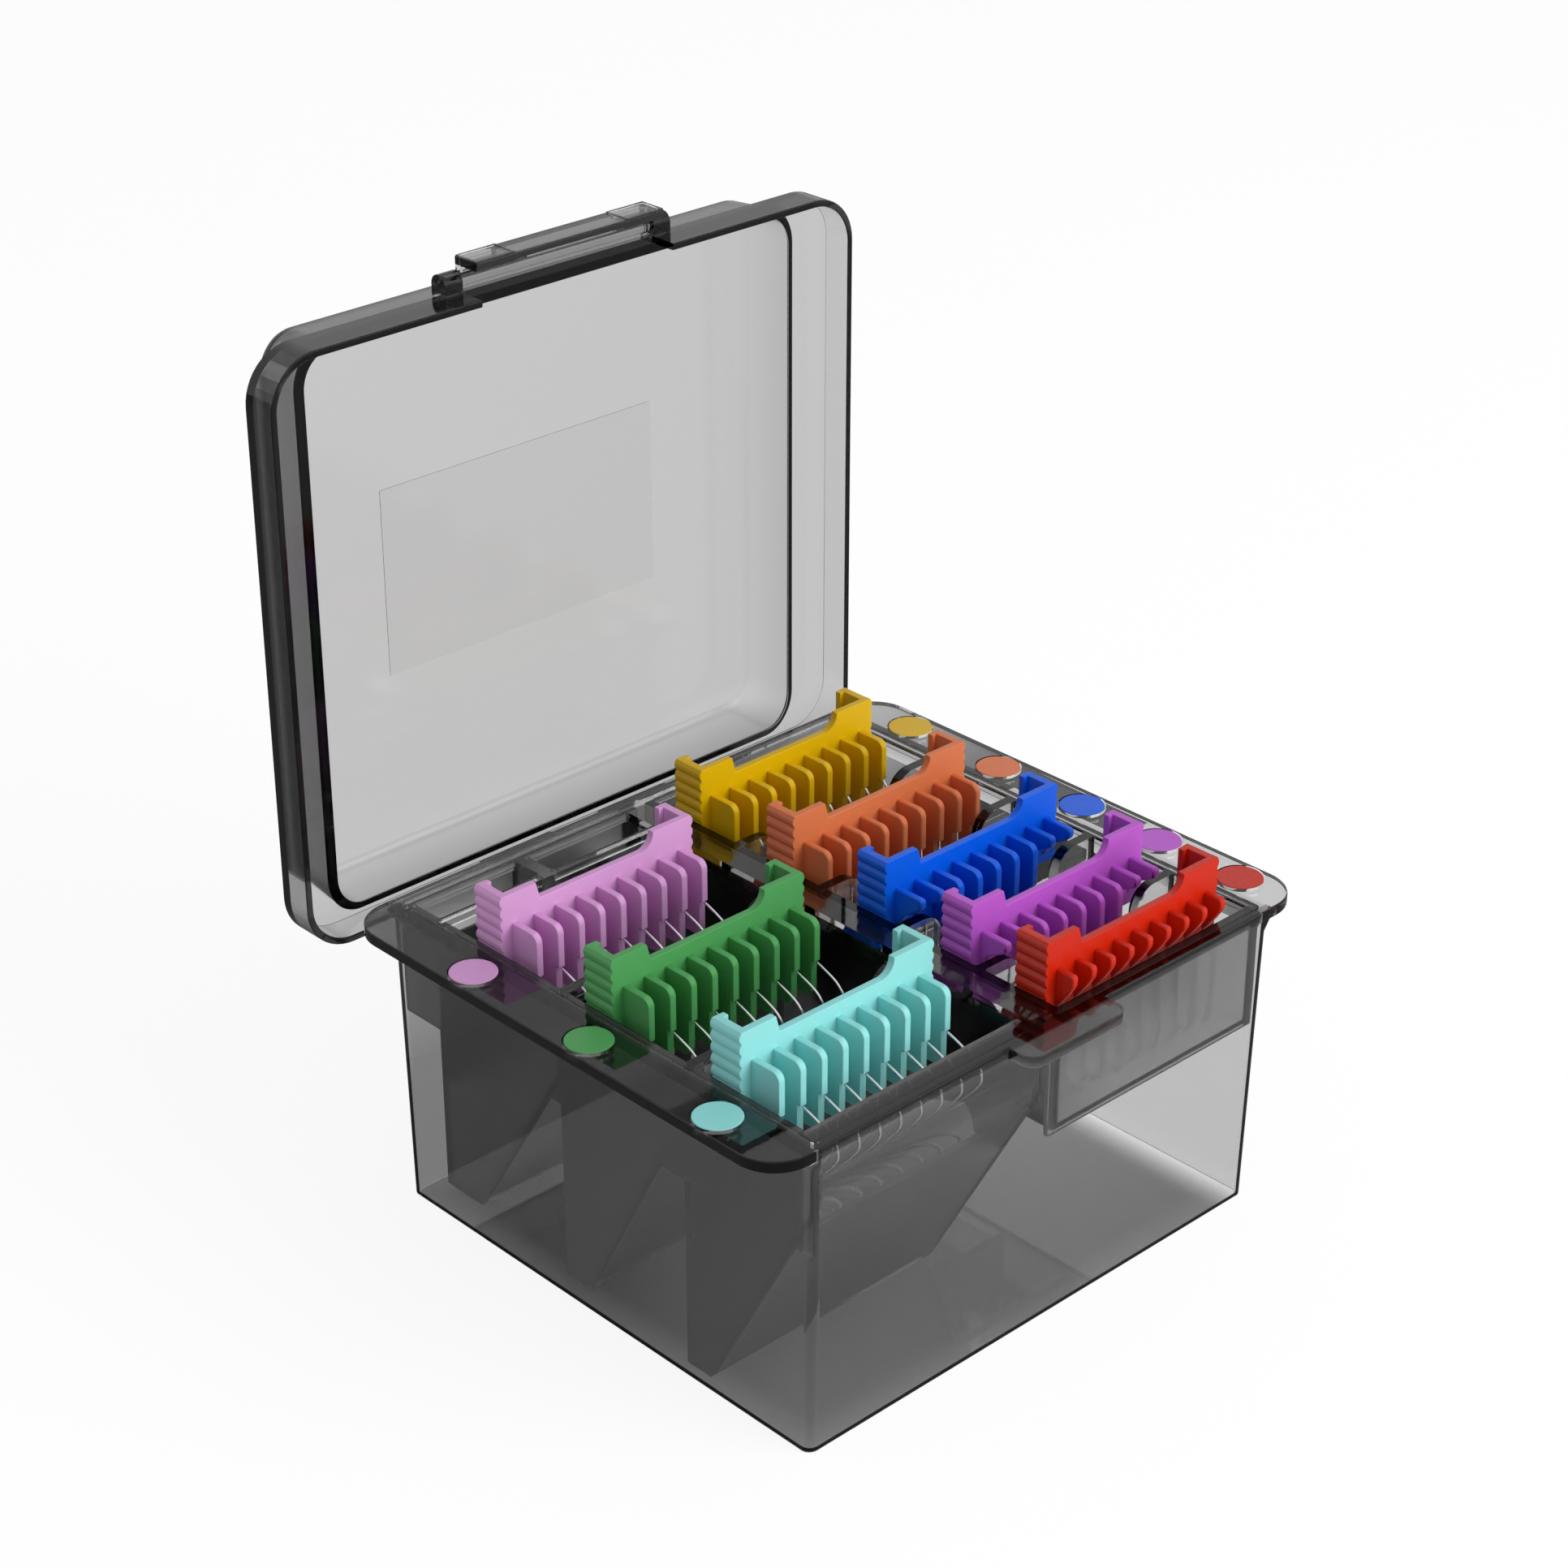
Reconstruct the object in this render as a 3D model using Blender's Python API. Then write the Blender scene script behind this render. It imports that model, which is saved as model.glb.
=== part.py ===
"""Hinged storage case with a lift-out insert and a set of guard combs with steel tines.

The case stands on the ground plane with its centre at the origin. X runs along the front, Y runs from
the front to the hinge at the back and Z points up. Sizes are in millimetres and are turned into metres
when a mesh is made. The lid is drawn closed and then turned about its hinge to stand open.
"""

import math

import bmesh
import bpy
from mathutils import Matrix, Vector

MM = 0.001

# Case: a thin-walled tub with a top plate that overhangs the ends.
CASE_HEIGHT = 65.5
WALL_TOP_HALF = (59.8, 58.2)
WALL_DRAFT = (0.2, 1.4)
WALL_FOOT_HALF = (WALL_TOP_HALF[0] - WALL_DRAFT[0], WALL_TOP_HALF[1] - WALL_DRAFT[1])
WALL_T = 1.2
WALL_R = 2.0
FLOOR_T = 1.6
END_OVERHANG = 10.2
SIDE_OVERHANG = 0.3
FLANGE_HALF = (WALL_TOP_HALF[0] + END_OVERHANG, WALL_TOP_HALF[1] + SIDE_OVERHANG)
FLANGE_T = 2.4
FLANGE_R = 8.5
FILLET_RISE = 2.6
FILLET_REACH = 2.2
TAB_HALF = 12.8
TAB_OUT = 6.0
TAB_REACH = FLANGE_HALF[1] + TAB_OUT
TAB_R = 3.0

# Colour dots: flat discs let into the overhanging ends.
DOT_R = 4.6
DOT_GAP = 0.2
DOT_T = 1.2
DOT_INSET = 5.4
DOT_X = FLANGE_HALF[0] - DOT_INSET
DOT_SEAT_GAP = 0.3

# Lid hinge at the back.
HINGE_OUT = 2.5
HINGE_DROP = 13.0
HINGE_Y = FLANGE_HALF[1] + HINGE_OUT
HINGE_Z = CASE_HEIGHT - HINGE_DROP
BARREL_R = 2.6
PIN_R = 1.2
PIN_CLEARANCE = 0.09
PIN_HALF = 34.7
CASE_KNUCKLES = ((-35.0, -25.2), (-6.0, 6.0), (25.2, 35.0))
LID_KNUCKLES = ((-24.8, -6.4), (6.4, 24.8))
LUG_SINK = 0.8
LUG_ROOT_Y = WALL_TOP_HALF[1] - LUG_SINK
LUG_DROP = 3.8
HEEL_REACH = 8.0

# Lid: a flat rim with a skirt around the case's plate, and a dished panel.
LID_OPEN_DEG = 90.0
LID_GAP = 0.4
LID_T = 1.4
SKIRT_DEPTH = 6.3
DISH_END_INSET = 10.1
DISH_SIDE_INSET = 1.7
DISH_HALF = (FLANGE_HALF[0] - DISH_END_INSET, FLANGE_HALF[1] - DISH_SIDE_INSET)
DISH_R = 7.0
DISH_DEPTH = 12.5
DISH_DRAFT = 0.5
PANEL_EDGE = 1.2
LABEL_HALF = (34.3, 19.6)
LABEL_CENTRE = (-0.6, -0.3)
LABEL_T = 0.4

# Latch: a flap on stub pivots at the lid's front edge, hooking under the case's tab.
LATCH_OUT = 3.8
LATCH_RISE = 1.7
LATCH_Y = -FLANGE_HALF[1] - LATCH_OUT
LATCH_Z = CASE_HEIGHT + LATCH_RISE
LATCH_HALF = 23.0
LATCH_R = 1.3
LATCH_T = 1.4
LATCH_SIDE_GAP = 0.5
STUB_R = 0.8
STUB_CLEARANCE = 0.09
STUB_LENGTH = 3.0
BOSS_R = 2.0
BOSS_LENGTH = 4.2
LIP_OUT = 8.2
LIP_DROP = 3.9
LIP_FRONT = FLANGE_HALF[1] + LIP_OUT
LIP_BACK = LIP_FRONT - LATCH_T
LIP_FOOT = CASE_HEIGHT - LIP_DROP
GRIP_SWELL = 0.3
GRIP_FRONT = LIP_FRONT + GRIP_SWELL
GRIP_BACK = LIP_BACK - GRIP_SWELL
GRIP_INNER = 13.6
BEAD_HALF = 11.0
BEAD_BACK = LIP_BACK - GRIP_SWELL
BEAD_RISE = 1.1
BEAD_TOP = LIP_FOOT + BEAD_RISE

# Insert: deep wedge troughs on the left, shallow pockets on the right.
INSERT_GAP = (0.5, 0.9)
INSERT_HALF = (WALL_TOP_HALF[0] - WALL_T - INSERT_GAP[0], WALL_TOP_HALF[1] - WALL_T - INSERT_GAP[1])
INSERT_T = 1.1
DECK_T = 2.0
SPINE = (-3.5, 3.6)
RIGHT_WALL_T = 1.7
LEFT_EDGE = INSERT_T - INSERT_HALF[0]
RIGHT_EDGE = INSERT_HALF[0] - RIGHT_WALL_T
FRONT_EDGE = INSERT_T - INSERT_HALF[1]
BACK_EDGE = INSERT_HALF[1] - INSERT_T
LEFT_SKIRT_DROP = 23.5
FRONT_SKIRT_DROP = 8.1
RIGHT_SKIRT_DROP = 25.6
LEFT_SKIRT_FOOT = CASE_HEIGHT - LEFT_SKIRT_DROP
FRONT_SKIRT_FOOT = CASE_HEIGHT - FRONT_SKIRT_DROP
RIGHT_SKIRT_FOOT = CASE_HEIGHT - RIGHT_SKIRT_DROP
POCKET_DEPTH = 24.2
SHALLOW_DEPTH = 21.9
POCKET_FLOOR = CASE_HEIGHT - POCKET_DEPTH
SHALLOW_FLOOR = CASE_HEIGHT - SHALLOW_DEPTH
PINK_FLOOR = 8.0
GREEN_FLOOR = 5.0
TEAL_FLOOR = 3.1
PINK_KNEE_DROP = 17.5
GREEN_KNEE_DROP = 9.5
TEAL_KNEE_DROP = 15.5
PINK_KNEE = CASE_HEIGHT - PINK_KNEE_DROP
GREEN_KNEE = CASE_HEIGHT - GREEN_KNEE_DROP
TEAL_KNEE = CASE_HEIGHT - TEAL_KNEE_DROP
HALF_DEPTH = BACK_EDGE
TROUGHS = (
    # back wall, floor front, floor height, front wall, height where the slope meets the front wall;
    # the rows are set out as shares of the insert's half depth
    (0.8145 * HALF_DEPTH, 0.6545 * HALF_DEPTH, PINK_FLOOR, 0.2091 * HALF_DEPTH, PINK_KNEE),
    (0.1655 * HALF_DEPTH, 0.0727 * HALF_DEPTH, GREEN_FLOOR, -0.4127 * HALF_DEPTH, GREEN_KNEE),
    (-0.4527 * HALF_DEPTH, -0.5364 * HALF_DEPTH, TEAL_FLOOR, FRONT_EDGE, TEAL_KNEE),
)
POCKETS = (
    # back wall, front wall, floor height
    (BACK_EDGE, 0.5509 * HALF_DEPTH, POCKET_FLOOR),
    (0.5091 * HALF_DEPTH, 0.1218 * HALF_DEPTH, SHALLOW_FLOOR),
    (0.08 * HALF_DEPTH, -0.2582 * HALF_DEPTH, POCKET_FLOOR),
    (-0.2982 * HALF_DEPTH, -0.6364 * HALF_DEPTH, POCKET_FLOOR),
    (-0.6727 * HALF_DEPTH, FRONT_EDGE, POCKET_FLOOR),
)
FINGER_INSET = (10.0, 8.5, 10.2, 10.4)
LEFT_FINGER_DEPTH = 15.5
RIGHT_FINGER_DEPTH = 19.5
LEFT_FINGER_CUT = (LEFT_EDGE + FINGER_INSET[0], SPINE[0] - FINGER_INSET[1], CASE_HEIGHT - LEFT_FINGER_DEPTH)
RIGHT_FINGER_FLOOR = CASE_HEIGHT - RIGHT_FINGER_DEPTH
RIGHT_FINGER_CUT = (SPINE[1] + FINGER_INSET[2], RIGHT_EDGE - FINGER_INSET[3], RIGHT_FINGER_FLOOR)
FINGER_R = 5.0
FINGER_STEPS = 7
SLOT_INSET = 0.8
SLOT_LAND = 0.6
BACK_SLOT_FAR = BACK_EDGE - SLOT_INSET
CHEEK_INSET = 26.0
CHEEK_X = LEFT_EDGE + CHEEK_INSET
CHEEK_HALF = 1.5
CHEEK_LAND = 0.5

# Combs: one body shape for all, with tines of rising length.
COMB_GAP = 0.3
COMB_END_ROOM = 5.8
COMB_WIDTH = SPINE[0] - LEFT_EDGE - COMB_END_ROOM
COMB_SINK = 5.0
EDGE_RISE = 8.1
EAR_RISE = 11.5
COMB_FOOT = CASE_HEIGHT - COMB_SINK
COMB_EDGE = CASE_HEIGHT + EDGE_RISE
EAR_TOP = CASE_HEIGHT + EAR_RISE
LEFT_EAR = 8.7
LEFT_EAR_SLOPE = 0.9
RIGHT_EAR = 10.2
EAR_FILLET = 3.2
PLATE_T = 1.6
SIDE_DEPTH = 7.6
LIP_WIDTH = 3.2
LIP_T = 1.4
RIDGE_COUNT = 7
RIDGE_DEPTH = 0.5
RIB_COUNT = 9
RIB_FIRST = 3.4
RIB_PITCH = (COMB_WIDTH - 2 * RIB_FIRST) / (RIB_COUNT - 1)
RIB_T = 1.3
RIB_REACH = 7.0
RIB_RISE = 5.3
RIB_SINK = 2.8
WEB_SINK = 7.3
RIB_TOP = CASE_HEIGHT + RIB_RISE
RIB_FOOT = CASE_HEIGHT - RIB_SINK
WEB_FOOT = CASE_HEIGHT - WEB_SINK
RIB_R = 1.8
WEB_REACH = 6.1
JOIN = 0.6
TINE_R = 0.5
TINE_SIDES = 5
TINE_GAP = 0.35
TIP_GAP = 1.4
POCKET_TIP_GAP = 1.3
BAR_R = 0.7
BAR_Y = 3.4
BAR_SINK = 3.9
BAR_Z = CASE_HEIGHT - BAR_SINK
BAR_END = 2.4
LEFT_COMB_X = LEFT_EDGE + COMB_GAP
RIGHT_COMB_X = SPINE[1] + COMB_GAP
PINK_Y = 0.5164 * HALF_DEPTH
GREEN_Y = -0.0473 * HALF_DEPTH
TEAL_Y = -0.66 * HALF_DEPTH
YELLOW_Y = 0.7382 * HALF_DEPTH
ORANGE_Y = 0.2564 * HALF_DEPTH
BLUE_Y = -0.1982 * HALF_DEPTH
PURPLE_Y = -0.6018 * HALF_DEPTH
RED_Y = -0.9418 * HALF_DEPTH
LONG_TINE_ROOM = 1.5
LONG_REACH = PINK_Y - TROUGHS[0][3] - LONG_TINE_ROOM
YELLOW_REACH = YELLOW_Y - POCKETS[0][1] - 1.1
ORANGE_REACH = ORANGE_Y - POCKETS[1][1] - 1.0
BLUE_CLEAR = BLUE_Y - POCKETS[2][1]
PURPLE_CLEAR = PURPLE_Y - POCKETS[3][1]
RED_CLEAR = RED_Y - POCKETS[4][1] - 0.2
BLUE_REACH = 7.2
PURPLE_REACH = 6.9
PURPLE_RIB_REACH = 6.7
RED_REACH = 1.4
RED_RIB_REACH = 4.3


class Comb:
    """One comb of the set: where it stands, its colour, and how its ribs and tines end."""

    def __init__(self, name, colour, x, y, dot_shift, tip, reach, rib_reach, clear, short_ribs):
        self.name = name
        self.colour = colour
        self.x = x
        self.y = y
        self.dot_y = y + dot_shift
        self.tip = tip
        self.reach = reach
        self.web = min(WEB_REACH, reach - TINE_R - TINE_GAP - 0.1)
        self.rib_reach = rib_reach
        self.clear = clear
        self.short_ribs = short_ribs


ALL_RIBS = tuple(range(RIB_COUNT))
END_RIBS = (0, 1, RIB_COUNT - 2, RIB_COUNT - 1)
LEFT_TIPS = ((-9.2, PINK_FLOOR + TIP_GAP), (-8.6, GREEN_FLOOR + TIP_GAP), (-8.4, TEAL_FLOOR + TIP_GAP + 0.1))
TIP = (-3.0, POCKET_FLOOR + POCKET_TIP_GAP)
HIGH_TIP = (-3.0, SHALLOW_FLOOR + POCKET_TIP_GAP)
RED_TIP = (-3.4, POCKET_FLOOR + POCKET_TIP_GAP)
LEFT, RIGHT = LEFT_COMB_X, RIGHT_COMB_X
COMBS = (
    Comb("pink", (0.69, 0.35, 0.67), LEFT, PINK_Y, -1.4, LEFT_TIPS[0], LONG_REACH, RIB_REACH, 0.0, ()),
    Comb("green", (0.075, 0.33, 0.095), LEFT, GREEN_Y, -2.9, LEFT_TIPS[1], LONG_REACH, RIB_REACH, 0.0, ()),
    Comb("teal", (0.27, 0.74, 0.71), LEFT, TEAL_Y, -2.9, LEFT_TIPS[2], LONG_REACH, RIB_REACH, 0.0, ()),
    Comb("yellow", (0.69, 0.43, 0.0), RIGHT, YELLOW_Y, 1.7, TIP, YELLOW_REACH, RIB_REACH, 0.0, ()),
    Comb("orange", (0.68, 0.18, 0.065), RIGHT, ORANGE_Y, 3.0, HIGH_TIP, ORANGE_REACH, RIB_REACH, 0.0, ()),
    Comb("blue", (0.0, 0.107, 0.73), RIGHT, BLUE_Y, 5.0, TIP, BLUE_REACH, RIB_REACH, BLUE_CLEAR, END_RIBS),
    Comb("purple", (0.48, 0.098, 0.58), RIGHT, PURPLE_Y, 7.0, TIP, PURPLE_REACH, PURPLE_RIB_REACH,
         PURPLE_CLEAR, END_RIBS),
    Comb("red", (0.73, 0.018, 0.0), RIGHT, RED_Y, 5.1, RED_TIP, RED_REACH, RED_RIB_REACH,
         RED_CLEAR, ALL_RIBS),
)

SMOKE = (0.55, 0.55, 0.56)
STEEL = (0.78, 0.78, 0.8)
BLACK = (0.02, 0.02, 0.022)


def clear_scene():
    for old in list(bpy.data.objects):
        bpy.data.objects.remove(old, do_unlink=True)


def material(name, colour, roughness, metallic=0.0):
    made = bpy.data.materials.new(name)
    made.use_nodes = True
    shader = made.node_tree.nodes["Principled BSDF"]
    shader.inputs["Base Color"].default_value = (*colour, 1.0)
    shader.inputs["Roughness"].default_value = roughness
    shader.inputs["Metallic"].default_value = metallic
    return made


def solid(name, points, faces):
    """A closed mesh object from points in millimetres, with its faces turned outwards."""
    mesh = bpy.data.meshes.new(name)
    mesh.from_pydata([Vector(p) * MM for p in points], [], faces)
    shape = bmesh.new()
    shape.from_mesh(mesh)
    bmesh.ops.recalc_face_normals(shape, faces=shape.faces)
    shape.to_mesh(mesh)
    shape.free()
    made = bpy.data.objects.new(name, mesh)
    bpy.context.scene.collection.objects.link(made)
    return made


def loft(name, rings):
    """A solid through rings that all have the same number of points."""
    count = len(rings[0])
    points = [p for ring in rings for p in ring]
    faces = [tuple(range(count))]
    for level in range(len(rings) - 1):
        low = level * count
        for i in range(count):
            j = (i + 1) % count
            faces.append((low + i, low + j, low + count + j, low + count + i))
    faces.append(tuple(range(len(points) - count, len(points))))
    return solid(name, points, faces)


def prism(name, outline, along, low, high):
    """A flat outline carried along one axis. The outline's pairs are the other two axes in order."""
    spot = {"X": lambda a, b, t: (t, a, b), "Y": lambda a, b, t: (a, t, b), "Z": lambda a, b, t: (a, b, t)}
    place = spot[along]
    return loft(name, [[place(a, b, t) for a, b in outline] for t in (low, high)])


def block(name, low, high):
    outline = [(low[0], low[1]), (high[0], low[1]), (high[0], high[1]), (low[0], high[1])]
    return prism(name, outline, "Z", low[2], high[2])


def arc(centre, radius, start, end, steps):
    """Points on an arc, from the start angle to the end angle in degrees."""
    found = []
    for i in range(steps + 1):
        turn = math.radians(start + (end - start) * i / steps)
        found.append((centre[0] + radius * math.cos(turn), centre[1] + radius * math.sin(turn)))
    return found


def rounded(half_x, half_y, radius, centre=(0.0, 0.0), steps=5):
    """A rectangle with rounded corners, as points around it."""
    points = []
    for sign_x, sign_y, start in ((1, 1, 0), (-1, 1, 90), (-1, -1, 180), (1, -1, 270)):
        corner = (centre[0] + sign_x * (half_x - radius), centre[1] + sign_y * (half_y - radius))
        points += arc(corner, radius, start, start + 90, steps)
    return points


def ring(half_x, half_y, radius, height, steps=5):
    return [(x, y, height) for x, y in rounded(half_x, half_y, radius, steps=steps)]


def cylinder(name, along, centre, radius, low, high, sides=24):
    outline = arc(centre, radius, 0, 360, sides)[:-1]
    return prism(name, outline, along, low, high)


def combine(body, tools, operation):
    """Joins or cuts the body with each tool in turn, and removes the tools."""
    for tool in tools:
        step = body.modifiers.new("combine", "BOOLEAN")
        step.operation = operation
        step.solver = "EXACT"
        step.object = tool
        graph = bpy.context.evaluated_depsgraph_get()
        mesh = bpy.data.meshes.new_from_object(body.evaluated_get(graph))
        body.modifiers.clear()
        old = body.data
        body.data = mesh
        bpy.data.meshes.remove(old)
        spent = tool.data
        bpy.data.objects.remove(tool, do_unlink=True)
        bpy.data.meshes.remove(spent)
    return body


def finish(body, name, look, origin=(0.0, 0.0, 0.0), smooth_deg=35.0):
    """Names the piece, puts its origin in place, and gives it its material and shading."""
    body.name = name
    body.data.name = name
    body.data.transform(Matrix.Translation(-Vector(origin) * MM))
    body.location = Vector(origin) * MM
    body.data.materials.clear()
    body.data.materials.append(look)
    body.data.shade_smooth()
    body.data.set_sharp_from_angle(angle=math.radians(smooth_deg))
    return body


def make_case(look):
    """The tub, its top plate with the thumb tab, and the case's hinge knuckles."""
    shade = CASE_HEIGHT - FLANGE_T
    rise = shade - FILLET_RISE
    foot_x, foot_y = WALL_FOOT_HALF
    top_x, top_y = WALL_TOP_HALF
    share = rise / CASE_HEIGHT
    near_x = foot_x + (top_x - foot_x) * share
    near_y = foot_y + (top_y - foot_y) * share
    body = loft(
        "case",
        [
            ring(foot_x - 0.8, foot_y - 0.8, WALL_R, 0.0),
            ring(foot_x, foot_y, WALL_R, 0.8),
            ring(near_x, near_y, WALL_R, rise),
            ring(top_x + FILLET_REACH, top_y, WALL_R, shade + JOIN),
        ],
    )
    plate = prism("plate", rounded(*FLANGE_HALF, FLANGE_R), "Z", shade, CASE_HEIGHT)
    tab_middle = (0.0, -(TAB_REACH + FLANGE_HALF[1]) / 2 + TAB_R)
    tab_deep = (TAB_REACH - FLANGE_HALF[1]) / 2 + TAB_R
    tab = prism("tab", rounded(TAB_HALF, tab_deep, TAB_R, tab_middle), "Z", shade + 0.02, CASE_HEIGHT - 0.02)
    combine(body, [plate, tab], "UNION")
    hollow = loft(
        "hollow",
        [
            ring(foot_x - WALL_T, foot_y - WALL_T, WALL_R - WALL_T + 0.4, FLOOR_T),
            ring(top_x - WALL_T, top_y - WALL_T, WALL_R - WALL_T + 0.4, CASE_HEIGHT + 1.0),
        ],
    )
    combine(body, [hollow], "DIFFERENCE")
    lugs = []
    for low, high in CASE_KNUCKLES:
        outline = [(LUG_ROOT_Y, HINGE_Z + BARREL_R)]
        outline += arc((HINGE_Y, HINGE_Z), BARREL_R, 90, -90, 12)
        outline += [(LUG_ROOT_Y, HINGE_Z - BARREL_R - LUG_DROP)]
        lugs.append(prism("lug", outline, "X", low, high))
    combine(body, lugs, "UNION")
    seats = []
    seat_floor = CASE_HEIGHT - DOT_T - DOT_SEAT_GAP
    for comb in COMBS:
        side = DOT_X if comb.x > 0 else -DOT_X
        seats.append(
            cylinder("seat", "Z", (side, comb.dot_y), DOT_R + DOT_GAP, seat_floor, CASE_HEIGHT + 1.0)
        )
    bore = cylinder("bore", "X", (HINGE_Y, HINGE_Z), PIN_R + PIN_CLEARANCE, -2 * PIN_HALF, 2 * PIN_HALF)
    combine(body, seats + [bore], "DIFFERENCE")
    return finish(body, "case_base", look)


def make_hinge_pin(look):
    pin = cylinder("pin", "X", (HINGE_Y, HINGE_Z), PIN_R, -PIN_HALF, PIN_HALF)
    return finish(pin, "hinge_pin", look, (0.0, HINGE_Y, HINGE_Z))


def make_dots(looks):
    floor = CASE_HEIGHT - DOT_T
    for comb in COMBS:
        side = DOT_X if comb.x > 0 else -DOT_X
        dot = cylinder("dot", "Z", (side, comb.dot_y), DOT_R, floor, CASE_HEIGHT, 32)
        finish(dot, "dot_" + comb.name, looks[comb.name], (side, comb.dot_y, floor))


def open_turn():
    """The turn that carries the closed lid and latch to the open place, in millimetres."""
    axis = Vector((0.0, HINGE_Y, HINGE_Z))
    turn = Matrix.Rotation(math.radians(-LID_OPEN_DEG), 4, "X")
    return Matrix.Translation(axis) @ turn @ Matrix.Translation(-axis)


def stand_open(body):
    turn = open_turn()
    turn.translation = turn.translation * MM
    body.data.transform(turn)


def make_lid(look):
    """The lid with its skirt, dish, label panel, hinge arms and latch bosses."""
    under = CASE_HEIGHT + LID_GAP
    over = under + LID_T
    foot = CASE_HEIGHT - SKIRT_DEPTH + LID_GAP
    skirt_x = FLANGE_HALF[0] + LID_GAP + LID_T
    skirt_y = FLANGE_HALF[1] + LID_GAP + LID_T
    skirt_r = FLANGE_R + LID_GAP + LID_T
    body = loft(
        "lid",
        [ring(skirt_x, skirt_y, skirt_r, foot, 6), ring(skirt_x, skirt_y, skirt_r, over, 6)],
    )
    out_x = DISH_HALF[0] + LID_T
    out_y = DISH_HALF[1] + LID_T - 0.05
    out_r = DISH_R + LID_T
    ceiling = under + DISH_DEPTH
    dish = loft(
        "dish",
        [
            ring(out_x, out_y, out_r, over - JOIN, 6),
            ring(out_x - DISH_DRAFT, out_y - DISH_DRAFT, out_r, ceiling + LID_T - PANEL_EDGE, 6),
            ring(out_x - DISH_DRAFT - PANEL_EDGE, out_y - DISH_DRAFT - PANEL_EDGE, out_r, ceiling + LID_T, 6),
        ],
    )
    arms = []
    for low, high in LID_KNUCKLES:
        inside = skirt_y - LID_T / 2
        outline = [(inside, over - JOIN), (inside, HINGE_Z)]
        outline += arc((HINGE_Y, HINGE_Z), BARREL_R, 180, 270, 6)
        outline += [(HINGE_Y + HEEL_REACH, HINGE_Z - BARREL_R - 0.1), (HINGE_Y + HEEL_REACH, HINGE_Z)]
        outline += [(HINGE_Y + BARREL_R, HINGE_Z + 1.5), (skirt_y + 1.4, over - JOIN)]
        arms.append(prism("arm", outline, "X", low, high))
    bosses = []
    for side in (-1, 1):
        start = LATCH_HALF + LATCH_SIDE_GAP
        ends = sorted((side * start, side * (start + BOSS_LENGTH)))
        outline = [(-skirt_y + LID_T / 2, LATCH_Z - BOSS_R)]
        outline += [(-skirt_y + LID_T / 2, LATCH_Z + BOSS_R)]
        outline += arc((LATCH_Y, LATCH_Z), BOSS_R, 90, 270, 10)
        bosses.append(prism("boss", outline, "X", *ends))
    combine(body, [dish] + arms + bosses, "UNION")
    pocket = loft(
        "pocket",
        [
            ring(skirt_x - LID_T, skirt_y - LID_T, skirt_r - LID_T, foot - 1.0, 6),
            ring(skirt_x - LID_T, skirt_y - LID_T, skirt_r - LID_T, under, 6),
        ],
    )
    bowl = loft(
        "bowl",
        [
            ring(*DISH_HALF, DISH_R, under - 1.0, 6),
            ring(DISH_HALF[0] - DISH_DRAFT, DISH_HALF[1] - DISH_DRAFT, DISH_R, ceiling - PANEL_EDGE, 6),
            ring(
                DISH_HALF[0] - DISH_DRAFT - PANEL_EDGE,
                DISH_HALF[1] - DISH_DRAFT - PANEL_EDGE,
                DISH_R - PANEL_EDGE,
                ceiling,
                6,
            ),
        ],
    )
    gate = LATCH_HALF + LATCH_SIDE_GAP
    notch = block("notch", (-gate, -skirt_y - 1.0, foot - 1.0), (gate, -skirt_y + LID_T + 0.3, under - 0.05))
    holes = []
    for side in (-1, 1):
        ends = sorted((side * (LATCH_HALF - 1.0), side * (LATCH_HALF + LATCH_SIDE_GAP + STUB_LENGTH)))
        holes.append(cylinder("hole", "X", (LATCH_Y, LATCH_Z), STUB_R + STUB_CLEARANCE, *ends, 20))
    bore = cylinder("bore", "X", (HINGE_Y, HINGE_Z), PIN_R + PIN_CLEARANCE, -2 * PIN_HALF, 2 * PIN_HALF)
    combine(body, [pocket, bowl, notch, bore] + holes, "DIFFERENCE")
    x0, y0 = LABEL_CENTRE
    label = block(
        "label",
        (x0 - LABEL_HALF[0], y0 - LABEL_HALF[1], ceiling + LID_T - JOIN),
        (x0 + LABEL_HALF[0], y0 + LABEL_HALF[1], ceiling + LID_T + LABEL_T),
    )
    combine(body, [label], "UNION")
    stand_open(body)
    return finish(body, "lid", look, (0.0, HINGE_Y, HINGE_Z))


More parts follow.
